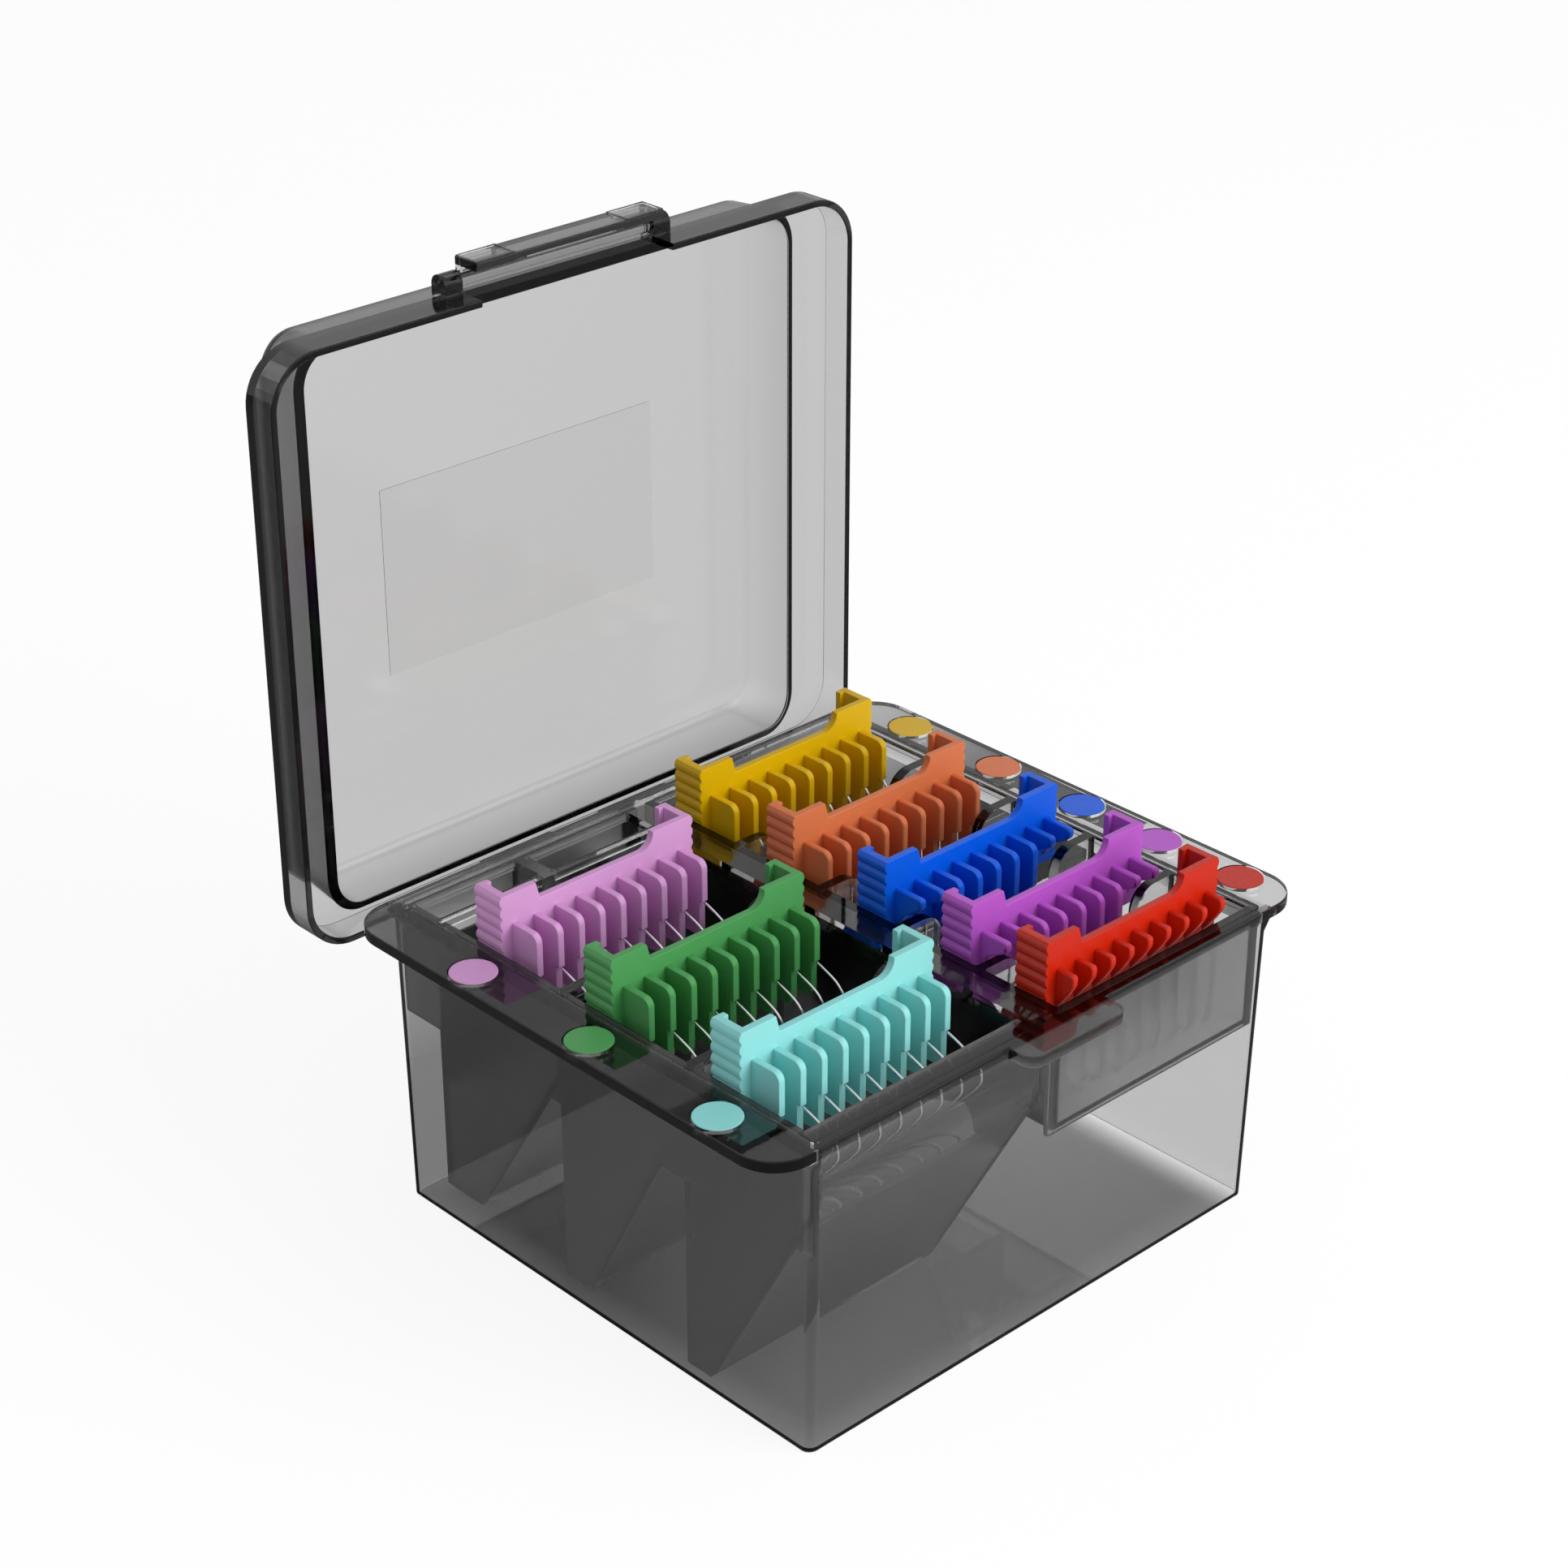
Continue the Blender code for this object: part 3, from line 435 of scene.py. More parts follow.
def dress(piece: bpy.types.Object, look: bpy.types.Material, body: str, nodes: Sequence[str]) -> None:
    """Gives a piece its finish, its body and the CAD nodes that it stands for.

    Args:
        piece: the finished object.
        look: its material.
        body: the body it rides on.
        nodes: the CAD nodes it replaces.
    """
    piece.data.materials.clear()
    piece.data.materials.append(look)
    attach(piece, body)
    if nodes:
        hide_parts(*nodes)
    LOG.info("%s: %d faces on %s", piece.name, len(piece.data.polygons), body)


def new_group(name: str, inputs: Sequence[tuple], outputs: Sequence[tuple]) -> bpy.types.ShaderNodeTree:
    """Starts a shader node group with named sockets.

    Args:
        name: the group's name.
        inputs: name, socket type and default value of each input.
        outputs: name and socket type of each output.

    Returns:
        The group, holding its two end nodes.
    """
    group = bpy.data.node_groups.new(name, "ShaderNodeTree")
    for label, kind, value in inputs:
        socket = group.interface.new_socket(name=label, in_out="INPUT", socket_type=kind)
        if value is not None:
            socket.default_value = value
    for label, kind in outputs:
        group.interface.new_socket(name=label, in_out="OUTPUT", socket_type=kind)
    group.nodes.new("NodeGroupInput").name = "in"
    group.nodes.new("NodeGroupOutput").name = "out"
    return group


def add_noise(tree: bpy.types.ShaderNodeTree, vector, scale: float, detail: float) -> bpy.types.NodeSocket:
    """Adds a noise texture to a node tree.

    Args:
        tree: the tree to add to.
        vector: the socket that gives its coordinates.
        scale: the noise's scale, per metre.
        detail: its detail.

    Returns:
        The noise's value.
    """
    noise = tree.nodes.new("ShaderNodeTexNoise")
    noise.inputs["Scale"].default_value = scale
    noise.inputs["Detail"].default_value = detail
    tree.links.new(vector, noise.inputs["Vector"])
    return noise.outputs["Fac"]


def add_range(tree: bpy.types.ShaderNodeTree, value, span: Sequence[float], to: Sequence) -> bpy.types.NodeSocket:
    """Maps a value from one range to another.

    Args:
        tree: the tree to add to.
        value: the socket to map.
        span: the lowest and highest value that comes in.
        to: the lowest and highest value that goes out, as numbers or sockets.

    Returns:
        The mapped value.
    """
    node = tree.nodes.new("ShaderNodeMapRange")
    node.inputs["From Min"].default_value, node.inputs["From Max"].default_value = span
    for label, end in zip(("To Min", "To Max"), to):
        if isinstance(end, (int, float)):
            node.inputs[label].default_value = end
        else:
            tree.links.new(end, node.inputs[label])
    tree.links.new(value, node.inputs["Value"])
    return node.outputs["Result"]


def add_math(tree: bpy.types.ShaderNodeTree, operation: str, first, second) -> bpy.types.NodeSocket:
    """Adds a math node on two sockets or numbers.

    Args:
        tree: the tree to add to.
        operation: the node's operation.
        first: its first value.
        second: its second value.

    Returns:
        The node's value.
    """
    node = tree.nodes.new("ShaderNodeMath")
    node.operation = operation
    for socket, value in zip(node.inputs, (first, second)):
        if isinstance(value, (int, float)):
            socket.default_value = value
        else:
            tree.links.new(value, socket)
    return node.outputs["Value"]


def inside_box(tree: bpy.types.ShaderNodeTree, place, low: Triple, high: Triple) -> bpy.types.NodeSocket:
    """Marks the points inside a box.

    Args:
        tree: the tree to add to.
        place: the coordinates.
        low: the box's lowest corner.
        high: its highest corner.

    Returns:
        One inside the box and zero outside it.
    """
    split = tree.nodes.new("ShaderNodeSeparateXYZ")
    tree.links.new(place, split.inputs["Vector"])
    mark = 1.0
    for axis, least, most in zip("XYZ", low, high):
        away = add_math(tree, "SUBTRACT", split.outputs[axis], (least + most) / 2 * MM)
        within = add_math(tree, "LESS_THAN", add_math(tree, "ABSOLUTE", away, 0.0), (most - least) / 2 * MM)
        mark = add_math(tree, "MULTIPLY", within, mark)
    return mark


class Effects:
    """Effects that several finishes share, each a node group that is built once."""

    _skin: bpy.types.ShaderNodeTree | None = None
    _marks: bpy.types.ShaderNodeTree | None = None

    @classmethod
    def moulded_skin(cls) -> bpy.types.ShaderNodeTree:
        """Colour drift, uneven gloss and fine grain of moulded plastic.

        Returns:
            The group, with Colour, Roughness and Height coming out.
        """
        if cls._skin:
            return cls._skin
        group = new_group(
            "moulded_skin",
            [
                ("Vector", "NodeSocketVector", None),
                ("Colour", "NodeSocketColor", (0.5, 0.5, 0.5, 1.0)),
                ("Drift", "NodeSocketFloat", 0.08),
                ("Gloss low", "NodeSocketFloat", 0.3),
                ("Gloss high", "NodeSocketFloat", 0.5),
            ],
            [
                ("Colour", "NodeSocketColor"),
                ("Roughness", "NodeSocketFloat"),
                ("Height", "NodeSocketFloat"),
            ],
        )
        ends = group.nodes
        vector = ends["in"].outputs["Vector"]
        broad = add_noise(group, vector, 55.0, 3.0)
        fine = add_noise(group, vector, 900.0, 2.0)
        mix = group.nodes.new("ShaderNodeHueSaturation")
        shade = add_math(group, "MULTIPLY", add_math(group, "SUBTRACT", broad, 0.5), ends["in"].outputs["Drift"])
        group.links.new(add_math(group, "ADD", shade, 1.0), mix.inputs["Value"])
        group.links.new(ends["in"].outputs["Colour"], mix.inputs["Color"])
        group.links.new(mix.outputs["Color"], ends["out"].inputs["Colour"])
        gloss = add_range(
            group, fine, (0.35, 0.65), (ends["in"].outputs["Gloss low"], ends["in"].outputs["Gloss high"])
        )
        group.links.new(gloss, ends["out"].inputs["Roughness"])
        group.links.new(
            add_math(group, "ADD", add_math(group, "MULTIPLY", fine, 0.35), broad), ends["out"].inputs["Height"]
        )
        cls._skin = group
        return group

    @classmethod
    def hairlines(cls) -> bpy.types.ShaderNodeTree:
        """Faint hairline scuffs along one direction.

        Returns:
            The group, with Mask coming out.
        """
        if cls._marks:
            return cls._marks
        group = new_group(
            "hairlines",
            [
                ("Vector", "NodeSocketVector", None),
                ("Stretch", "NodeSocketVector", (1.0, 1.0, 1.0)),
                ("Edge", "NodeSocketFloat", 0.62),
            ],
            [("Mask", "NodeSocketFloat")],
        )
        ends = group.nodes
        scale = group.nodes.new("ShaderNodeVectorMath")
        scale.operation = "MULTIPLY"
        group.links.new(ends["in"].outputs["Vector"], scale.inputs[0])
        group.links.new(ends["in"].outputs["Stretch"], scale.inputs[1])
        streak = add_noise(group, scale.outputs["Vector"], 1.0, 4.0)
        rise = add_math(group, "SUBTRACT", streak, ends["in"].outputs["Edge"])
        node = group.nodes.new("ShaderNodeClamp")
        group.links.new(add_math(group, "MULTIPLY", rise, 6.0), node.inputs["Value"])
        group.links.new(node.outputs["Result"], ends["out"].inputs["Mask"])
        cls._marks = group
        return group


def new_material(name: str) -> tuple:
    """Starts a material with a Principled shader and Object coordinates.

    Args:
        name: the material's name.

    Returns:
        The material, its shader node and the Object coordinate socket.
    """
    look = bpy.data.materials.new(name)
    look.use_nodes = True
    shader = look.node_tree.nodes["Principled BSDF"]
    place = look.node_tree.nodes.new("ShaderNodeTexCoord")
    return look, shader, place.outputs["Object"]


def place_group(look: bpy.types.Material, group: bpy.types.ShaderNodeTree, values: dict) -> bpy.types.Node:
    """Places a node group in a material with its own values.

    Args:
        look: the material.
        group: the shared group.
        values: a number, colour or socket for each named input.

    Returns:
        The group's node.
    """
    node = look.node_tree.nodes.new("ShaderNodeGroup")
    node.node_tree = group
    for label, value in values.items():
        if isinstance(value, bpy.types.NodeSocket):
            look.node_tree.links.new(value, node.inputs[label])
        else:
            node.inputs[label].default_value = value
    return node


def add_bump(look: bpy.types.Material, height, strength: float, distance: float, shader: bpy.types.Node) -> None:
    """Feeds a height to the shader's normal through a bump node.

    Args:
        look: the material.
        height: the socket that gives the height.
        strength: the bump's strength.
        distance: its depth in millimetres.
        shader: the shader node.
    """
    bump = look.node_tree.nodes.new("ShaderNodeBump")
    bump.inputs["Strength"].default_value = strength
    bump.inputs["Distance"].default_value = distance * MM
    look.node_tree.links.new(height, bump.inputs["Height"])
    look.node_tree.links.new(bump.outputs["Normal"], shader.inputs["Normal"])


@dataclass(frozen=True)
class SmokePlastic:
    """Clear smoke-grey plastic that darkens with the length of the way through it, with painted shade that darkens its
    colour inside given boxes.
    """

    name: str = "smoke_plastic"
    density: float = 370.0
    gloss: tuple = (0.08, 0.13)
    matt_boxes: tuple = ()
    # Boxes of painted shade: lowest corner, highest corner and the colour's level inside.
    painted_shade_boxes: tuple = ()
    ior: float = 1.47
    absorbed: tuple = (0.03, 0.03, 0.028)

    def make(self) -> bpy.types.Material:
        """Builds the material.

        Returns:
            The smoke plastic.
        """
        look, shader, place = new_material(self.name)
        links = look.node_tree.links
        shader.inputs["Base Color"].default_value = (1.0, 1.0, 1.0, 1.0)
        # Painted shade: the base colour drops to each box's level inside it.
        painted_shade_tint = 1.0
        for low, high, level in self.painted_shade_boxes:
            mark = inside_box(look.node_tree, place, low, high)
            painted_shade_tint = add_math(look.node_tree, "MINIMUM", painted_shade_tint, add_range(look.node_tree, mark, (0.0, 1.0), (1.0, level)))
        if self.painted_shade_boxes:
            links.new(painted_shade_tint, shader.inputs["Base Color"])
        shader.inputs["Transmission Weight"].default_value = 1.0
        shader.inputs["IOR"].default_value = self.ior
        skin = place_group(
            look,
            Effects.moulded_skin(),
            {"Vector": place, "Gloss low": self.gloss[0], "Gloss high": self.gloss[1]},
        )
        rough = skin.outputs["Roughness"]
        for low, high, level in self.matt_boxes:
            mark = inside_box(look.node_tree, place, low, high)
            rough = add_math(look.node_tree, "MAXIMUM", rough, add_math(look.node_tree, "MULTIPLY", mark, level))
        links.new(rough, shader.inputs["Roughness"])
        add_bump(look, skin.outputs["Height"], 0.12, 0.02, shader)
        volume = look.node_tree.nodes.new("ShaderNodeVolumeAbsorption")
        volume.inputs["Color"].default_value = (*self.absorbed, 1.0)
        volume.inputs["Density"].default_value = self.density
        links.new(volume.outputs["Volume"], look.node_tree.nodes["Material Output"].inputs["Volume"])
        return look


@dataclass(frozen=True)
class SatinPlastic:
    """Coloured satin plastic of a comb or a dot."""

    name: str
    colour: tuple
    gloss: tuple = (0.34, 0.46)
    drift: float = 0.12

    def make(self) -> bpy.types.Material:
        """Builds the material.

        Returns:
            The coloured plastic.
        """
        look, shader, place = new_material(self.name)
        links = look.node_tree.links
        skin = place_group(
            look,
            Effects.moulded_skin(),
            {
                "Vector": place,
                "Colour": (*self.colour, 1.0),
                "Drift": self.drift,
                "Gloss low": self.gloss[0],
                "Gloss high": self.gloss[1],
            },
        )
        links.new(skin.outputs["Colour"], shader.inputs["Base Color"])
        links.new(skin.outputs["Roughness"], shader.inputs["Roughness"])
        add_bump(look, skin.outputs["Height"], 0.25, 0.03, shader)
        return look


@dataclass(frozen=True)
class BrightSteel:
    """Bright or dark steel with fine drawing lines."""

    name: str
    colour: tuple
    roughness: tuple
    stretch: tuple = (4000.0, 4000.0, 120.0)

    def make(self) -> bpy.types.Material:
        """Builds the material.

        Returns:
            The steel.
        """
        look, shader, place = new_material(self.name)
        links = look.node_tree.links
        shader.inputs["Metallic"].default_value = 1.0
        lines = place_group(look, Effects.hairlines(), {"Vector": place, "Stretch": self.stretch, "Edge": 0.45})
        skin = place_group(
            look, Effects.moulded_skin(), {"Vector": place, "Colour": (*self.colour, 1.0), "Drift": 0.1}
        )
        links.new(skin.outputs["Colour"], shader.inputs["Base Color"])
        gloss = add_range(look.node_tree, lines.outputs["Mask"], (0.0, 1.0), self.roughness)
        links.new(gloss, shader.inputs["Roughness"])
        add_bump(look, lines.outputs["Mask"], 0.15, 0.01, shader)
        return look


class Hue(Enum):
    """The set's eight colours."""

    PINK = "pink"
    GREEN = "green"
    TEAL = "teal"
    YELLOW = "yellow"
    ORANGE = "orange"
    BLUE = "blue"
    PURPLE = "purple"
    RED = "red"


COLOURS = {
    Hue.PINK: (0.69, 0.35, 0.67),
    Hue.GREEN: (0.075, 0.33, 0.095),
    Hue.TEAL: (0.27, 0.69, 0.68),
    Hue.YELLOW: (0.69, 0.43, 0.0),
    Hue.ORANGE: (0.68, 0.18, 0.065),
    Hue.BLUE: (0.0, 0.107, 0.73),
    Hue.PURPLE: (0.48, 0.098, 0.58),
    Hue.RED: (0.53, 0.013, 0.0),
}


def upright(place: Vector, way: Vector) -> bool:
    """Passes edges that stand upright."""
    return abs(way.z) > 0.9


def on_outline(place: Vector, half: Sequence[float], radius: float) -> bool:
    """Tells whether a point lies on the outline of a rounded rectangle.

    Args:
        place: the point.
        half: half the rectangle's size along X and Y.
        radius: the radius of its corners.

    Returns:
        Whether it lies within a tenth of a millimetre of the outline.
    """
    past_x = abs(place.x) - half[0] + radius
    past_y = abs(place.y) - half[1] + radius
    if past_x > 0 and past_y > 0:
        return abs(math.hypot(past_x, past_y) - radius) < 0.1
    return abs(max(past_x, past_y) - radius) < 0.1


@dataclass
class StorageCase:
    """The tub with its overhanging top plate, thumb tab and hinge knuckles, and the dots let into it."""

    height: float = 65.5
    wall_top: tuple = (59.8, 58.2)
    wall_foot: tuple = (59.6, 56.8)
    wall: float = 1.2
    floor: float = 0.35
    plate_half: tuple = (70.0, 58.5)
    plate: float = 2.4
    plate_r: float = 8.5
    plate_edge: float = 0.3
    fillet: tuple = (2.2, 2.6)
    tab: tuple = (12.8, 64.5, 3.0)
    hinge: tuple = (61.0, 52.5)
    barrel_r: float = 2.6
    pin_r: float = 1.2
    lug_root: float = 57.4
    lug_drop: float = 3.8
    knuckles: tuple = ((-35.0, -25.2), (-6.0, 6.0), (25.2, 35.0))
    dot_r: float = 4.6
    dot_x: float = 64.6
    dot_t: float = 1.2
    dot_rows: dict = field(
        default_factory=lambda: {
            Hue.PINK: 27.0,
            Hue.GREEN: -5.5,
            Hue.TEAL: -39.2,
            Hue.YELLOW: 42.3,
            Hue.ORANGE: 17.1,
            Hue.BLUE: -5.9,
            Hue.PURPLE: -26.1,
            Hue.RED: -46.7,
        }
    )

    def dot_place(self, hue: Hue) -> tuple:
        """Gives the centre of a dot.

        Args:
            hue: the dot's colour.

        Returns:
            Its X and Y.
        """
        side = -1 if hue in (Hue.PINK, Hue.GREEN, Hue.TEAL) else 1
        return side * self.dot_x, self.dot_rows[hue]

    def tub(self) -> bpy.types.Object:
        """Models the tub as a solid, with the flare that carries the overhanging ends.

        Returns:
            The tub before it is hollowed.
        """
        foot_x, foot_y = self.wall_foot
        top_x, top_y = self.wall_top
        under = self.height - self.plate
        body = Bench.block("tub", (-foot_x, -foot_y, 0.0), (foot_x, foot_y, under + 0.8))
        Bench.stretch(
            body, (top_x / foot_x, top_y / foot_y, 1.0), (0.0, 0.0, under), lambda p, n: p.z > under
        )
        Bench.round_edges(body, 2.0, 6, upright)
        Bench.round_edges(body, 0.15, 2, lambda p, w: p.z < 0.01)
        Bench.slice(body, (0.0, 0.0, under - self.fillet[1]), (0.0, 0.0, 1.0))
        for side in (-1, 1):
            Bench.shift(
                body,
                (side * self.fillet[0], 0.0, 0.0),
                lambda p, n: p.z > under and side * p.x > top_x - 2.5,
            )
        return body

    def rim(self) -> bpy.types.Object:
        """Models the top plate with its thumb tab.

        Returns:
            The plate.
        """
        half_x, half_y = self.plate_half
        under = self.height - self.plate
        plate = Bench.block("plate", (-half_x, -half_y, under), (half_x, half_y, self.height))
        half, reach, radius = self.tab
        for x in (-half, half):
            Bench.slice(plate, (x, 0.0, 0.0), (1.0, 0.0, 0.0))
        Bench.push(plate, 0.0, (0.0, half_y - reach, 0.0), lambda p, n: n.y < -0.9 and abs(p.x) < half)
        Bench.round_edges(plate, self.plate_r, 12, lambda p, w: upright(p, w) and abs(p.x) > half_x - 0.1)
        Bench.round_edges(plate, radius, 8, lambda p, w: upright(p, w) and p.y < -reach + 0.1)
        Bench.soften(plate, self.plate_edge, 3, 50.0)
        return plate

    def knuckle_tools(self) -> list:
        """Models the hinge knuckles with the lugs that carry them.

        Returns:
            The knuckles.
        """
        axis_y, axis_z = self.hinge
        made = []
        for low, high in self.knuckles:
            drop = self.barrel_r + self.lug_drop
            lug = Bench.block("lug", (low, self.lug_root, axis_z - drop), (high, axis_y, axis_z + self.barrel_r))
            Bench.shift(
                lug, (0.0, 0.0, self.lug_drop), lambda p, n: p.z < axis_z - self.barrel_r and p.y > axis_y - 0.1
            )
            middle = ((low + high) / 2, axis_y, axis_z)
            barrel = Bench.rod("barrel", Axis.X, middle, self.barrel_r, high - low, 40)
            Bench.combine(lug, [barrel], Join.ADD)
            made.append(lug)
        return made

    def build(self, look: bpy.types.Material) -> bpy.types.Object:
        """Models the whole case and dresses it.

        Args:
            look: the smoke plastic.

        Returns:
            The case.
        """
        body = self.tub()
        Bench.combine(body, [self.rim()], Join.ADD)
        foot_x, foot_y = (v - self.wall for v in self.wall_foot)
        top_x, top_y = (v - self.wall for v in self.wall_top)
        mouth = self.height + 1.0
        hollow = Bench.block("hollow", (-foot_x, -foot_y, self.floor), (foot_x, foot_y, mouth))
        Bench.stretch(hollow, (top_x / foot_x, top_y / foot_y, 1.0), (0, 0, mouth), lambda p, n: p.z > mouth - 0.1)
        Bench.round_edges(hollow, 1.2, 5, upright)
        Bench.round_edges(hollow, 0.15, 2, lambda p, w: p.z < self.floor + 0.01)
        Bench.combine(body, [hollow], Join.CUT)
        Bench.combine(body, self.knuckle_tools(), Join.ADD)
        tools = [Bench.rod("bore", Axis.X, (0.0, *self.hinge), self.pin_r + 0.09, 140.0, 32)]
        for hue in self.dot_rows:
            x, y = self.dot_place(hue)
            seat = self.height - self.dot_t - 0.3
            tools.append(
                Bench.rod("seat", Axis.Z, (x, y, (seat + mouth) / 2), self.dot_r + 0.2, mouth - seat, 64)
            )
        Bench.combine(body, tools, Join.CUT)
        Bench.finish(body, "case_shell")
        dress(body, look, "case", ["case_base"])
        return body

    def build_dots(self, looks: dict) -> None:
        """Models one dot and copies it to each place.

        Args:
            looks: the colour finish of each hue.
        """
        middle = self.height - self.dot_t / 2
        pattern = Bench.rod("dot", Axis.Z, (0.0, 0.0, middle), self.dot_r, self.dot_t, 64)
        Bench.round_edges(pattern, 0.2, 3, lambda p, w: abs(p.z - middle) > self.dot_t / 2 - 0.01)
        for hue in self.dot_rows:
            dot = Bench.copy(pattern, (*self.dot_place(hue), 0.0))
            Bench.finish(dot, f"dot_{hue.value}_disc")
            dress(dot, looks[hue], "case", [f"dot_{hue.value}"])
        Bench.drop(pattern)


@dataclass
class Lid:
    """The lid: rim with skirt, dished panel with a bare raised label, hinge arms and latch bosses."""

    under: float = 65.9
    wall: float = 1.4
    foot: float = 59.6
    skirt_half: tuple = (71.8, 60.3)
    skirt_r: float = 10.3
    dish_half: tuple = (59.9, 56.8)
    dish_wall: float = 1.8
    dish_thin: float = 0.4
    dish_depth: float = 12.5
    draft: float = 0.5
    panel_r: float = 1.6
    root_r: float = 0.5
    brow_r: float = 0.4
    label_half: tuple = (34.3, 19.6)
    label_centre: tuple = (-0.6, -0.3)
    label: float = 0.12
    hinge: tuple = (61.0, 52.5)
    barrel_r: float = 2.6
    pin_r: float = 1.2
    heel: float = 8.0
    knuckles: tuple = ((-24.8, -6.4), (6.4, 24.8))
    latch_axis: tuple = (-62.3, 67.2)
    gate: float = 23.5
    boss: tuple = (2.0, 4.2)
    open_deg: float = -90.0

    def shell(self) -> bpy.types.Object:
        """Models the rim, skirt and dish from one block.

        Returns:
            The shell of the lid, shut.
        """
        half_x, half_y = self.skirt_half
        over = self.under + self.wall
        top = over + self.dish_depth
        body = Bench.block("lid", (-half_x, -half_y, self.foot), (half_x, half_y, over))
        Bench.round_edges(body, self.skirt_r, 12, upright)
        out = [v + self.dish_wall for v in self.dish_half]
        self._step(body, over, 1.0, out, half_y)
        middle = lambda p: abs(p.x) < 1 and abs(p.y) < 1
        Bench.push(body, 0.0, (0.0, 0.0, self.dish_depth), lambda p, n: n.z > 0.9 and middle(p) and p.z > over - 0.1)
        lean = [(v - self.draft - self.dish_thin) / v for v in out]
        Bench.stretch(body, (*lean, 1.0), (0.0, 0.0, top), lambda p, n: p.z > top - 0.1)
        Bench.push(body, self.wall, (0.0, 0.0, self.under - self.foot), lambda p, n: n.z < -0.9)
        self._step(body, self.under, -1.0, self.dish_half, half_y - self.wall)
        ceiling = self.under + self.dish_depth
        Bench.push(
            body,
            0.0,
            (0.0, 0.0, self.dish_depth),
            lambda p, n: n.z < -0.9 and middle(p) and abs(p.z - self.under) < 0.1,
        )
        lean = [(v - self.draft) / v for v in self.dish_half]
        Bench.stretch(body, (*lean, 1.0), (0.0, 0.0, ceiling), lambda p, n: abs(p.z - ceiling) < 0.05)
        flat = lambda z: lambda p, w: abs(p.z - z) < 0.05 and abs(w.z) < 0.1
        skirt = lambda p: on_outline(p, self.skirt_half, self.skirt_r)
        Bench.round_edges(body, self.panel_r + 0.6, 5, flat(top))
        Bench.round_edges(body, self.panel_r, 5, flat(ceiling))
        Bench.round_edges(body, self.root_r, 5, lambda p, w: flat(over)(p, w) and not skirt(p))
        Bench.round_edges(body, self.brow_r, 4, lambda p, w: flat(over)(p, w) and skirt(p))
        Bench.round_edges(body, 0.25, 3, lambda p, w: flat(self.under)(p, w))
        Bench.round_edges(body, 0.25, 3, lambda p, w: flat(self.foot)(p, w))
        return body

    def _step(self, body: bpy.types.Object, level: float, up: float, half: Sequence[float], edge_y: float) -> None:
        """Insets the flat face at a level to the dish's outline.

        Args:
            body: the lid.
            level: the face's height.
            up: the sign of its normal along Z.
            half: half the dish's size along X and Y.
            edge_y: half the face's size along Y.
        """
        inset = edge_y - half[1]
        Bench.push(body, inset, (0.0, 0.0, 0.0), lambda p, n: n.z * up > 0.9 and abs(p.z - level) < 0.1)
        edge_x = edge_y + self.skirt_half[0] - self.skirt_half[1] - inset
        with Bench.editing(body, Pick.FACE):
            Bench.choose(
                body, Pick.FACE,
                lambda p, n: n.z * up > 0.9 and abs(p.z - level) < 0.1 and abs(p.x) < 1 and abs(p.y) < 1,
            )
            bpy.ops.transform.resize(value=(half[0] / edge_x, 1.0, 1.0), center_override=(0.0, 0.0, level * MM))

    def hinge_arms(self) -> list:
        """Models the two arms that carry the lid's knuckles, with their heels.

        Returns:
            The arms.
        """
        axis_y, axis_z = self.hinge
        inside = self.skirt_half[1] - self.wall / 2
        over = self.under + self.wall - 0.6
        made = []
        for low, high in self.knuckles:
            arm = Bench.block("arm", (low, inside, axis_z), (high, axis_y + self.barrel_r, over))
            Bench.shift(
                arm, (0.0, self.skirt_half[1] + 1.4 - axis_y - self.barrel_r, 0.0),
                lambda p, n: p.z > over - 0.1 and p.y > axis_y,
            )
            middle = ((low + high) / 2, axis_y, axis_z)
            barrel = Bench.rod("barrel", Axis.X, middle, self.barrel_r, high - low, 40)
            heel = Bench.block(
                "heel",
                (low, axis_y - 0.3, axis_z - self.barrel_r),
                (high, axis_y + self.heel, axis_z),
            )
            Bench.shift(heel, (0.0, 0.0, 1.4), lambda p, n: p.z > axis_z - 0.1 and p.y < axis_y + 1.0)
            Bench.combine(arm, [barrel, heel], Join.ADD)
            made.append(arm)
        return made

    def latch_bosses(self) -> list:
        """Models the two bosses that hold the latch's stubs.

        Returns:
            The bosses.
        """
        axis_y, axis_z = self.latch_axis
        radius, length = self.boss
        made = []
        for side in (-1, 1):
            low, high = sorted((side * self.gate, side * (self.gate + length)))
            inside = -self.skirt_half[1] + self.wall / 2
            boss = Bench.block("boss", (low, axis_y, axis_z - radius), (high, inside, axis_z + radius))
            middle = ((low + high) / 2, axis_y, axis_z)
            nose = Bench.rod("nose", Axis.X, middle, radius, high - low, 32)
            Bench.combine(boss, [nose], Join.ADD)
            made.append(boss)
        return made

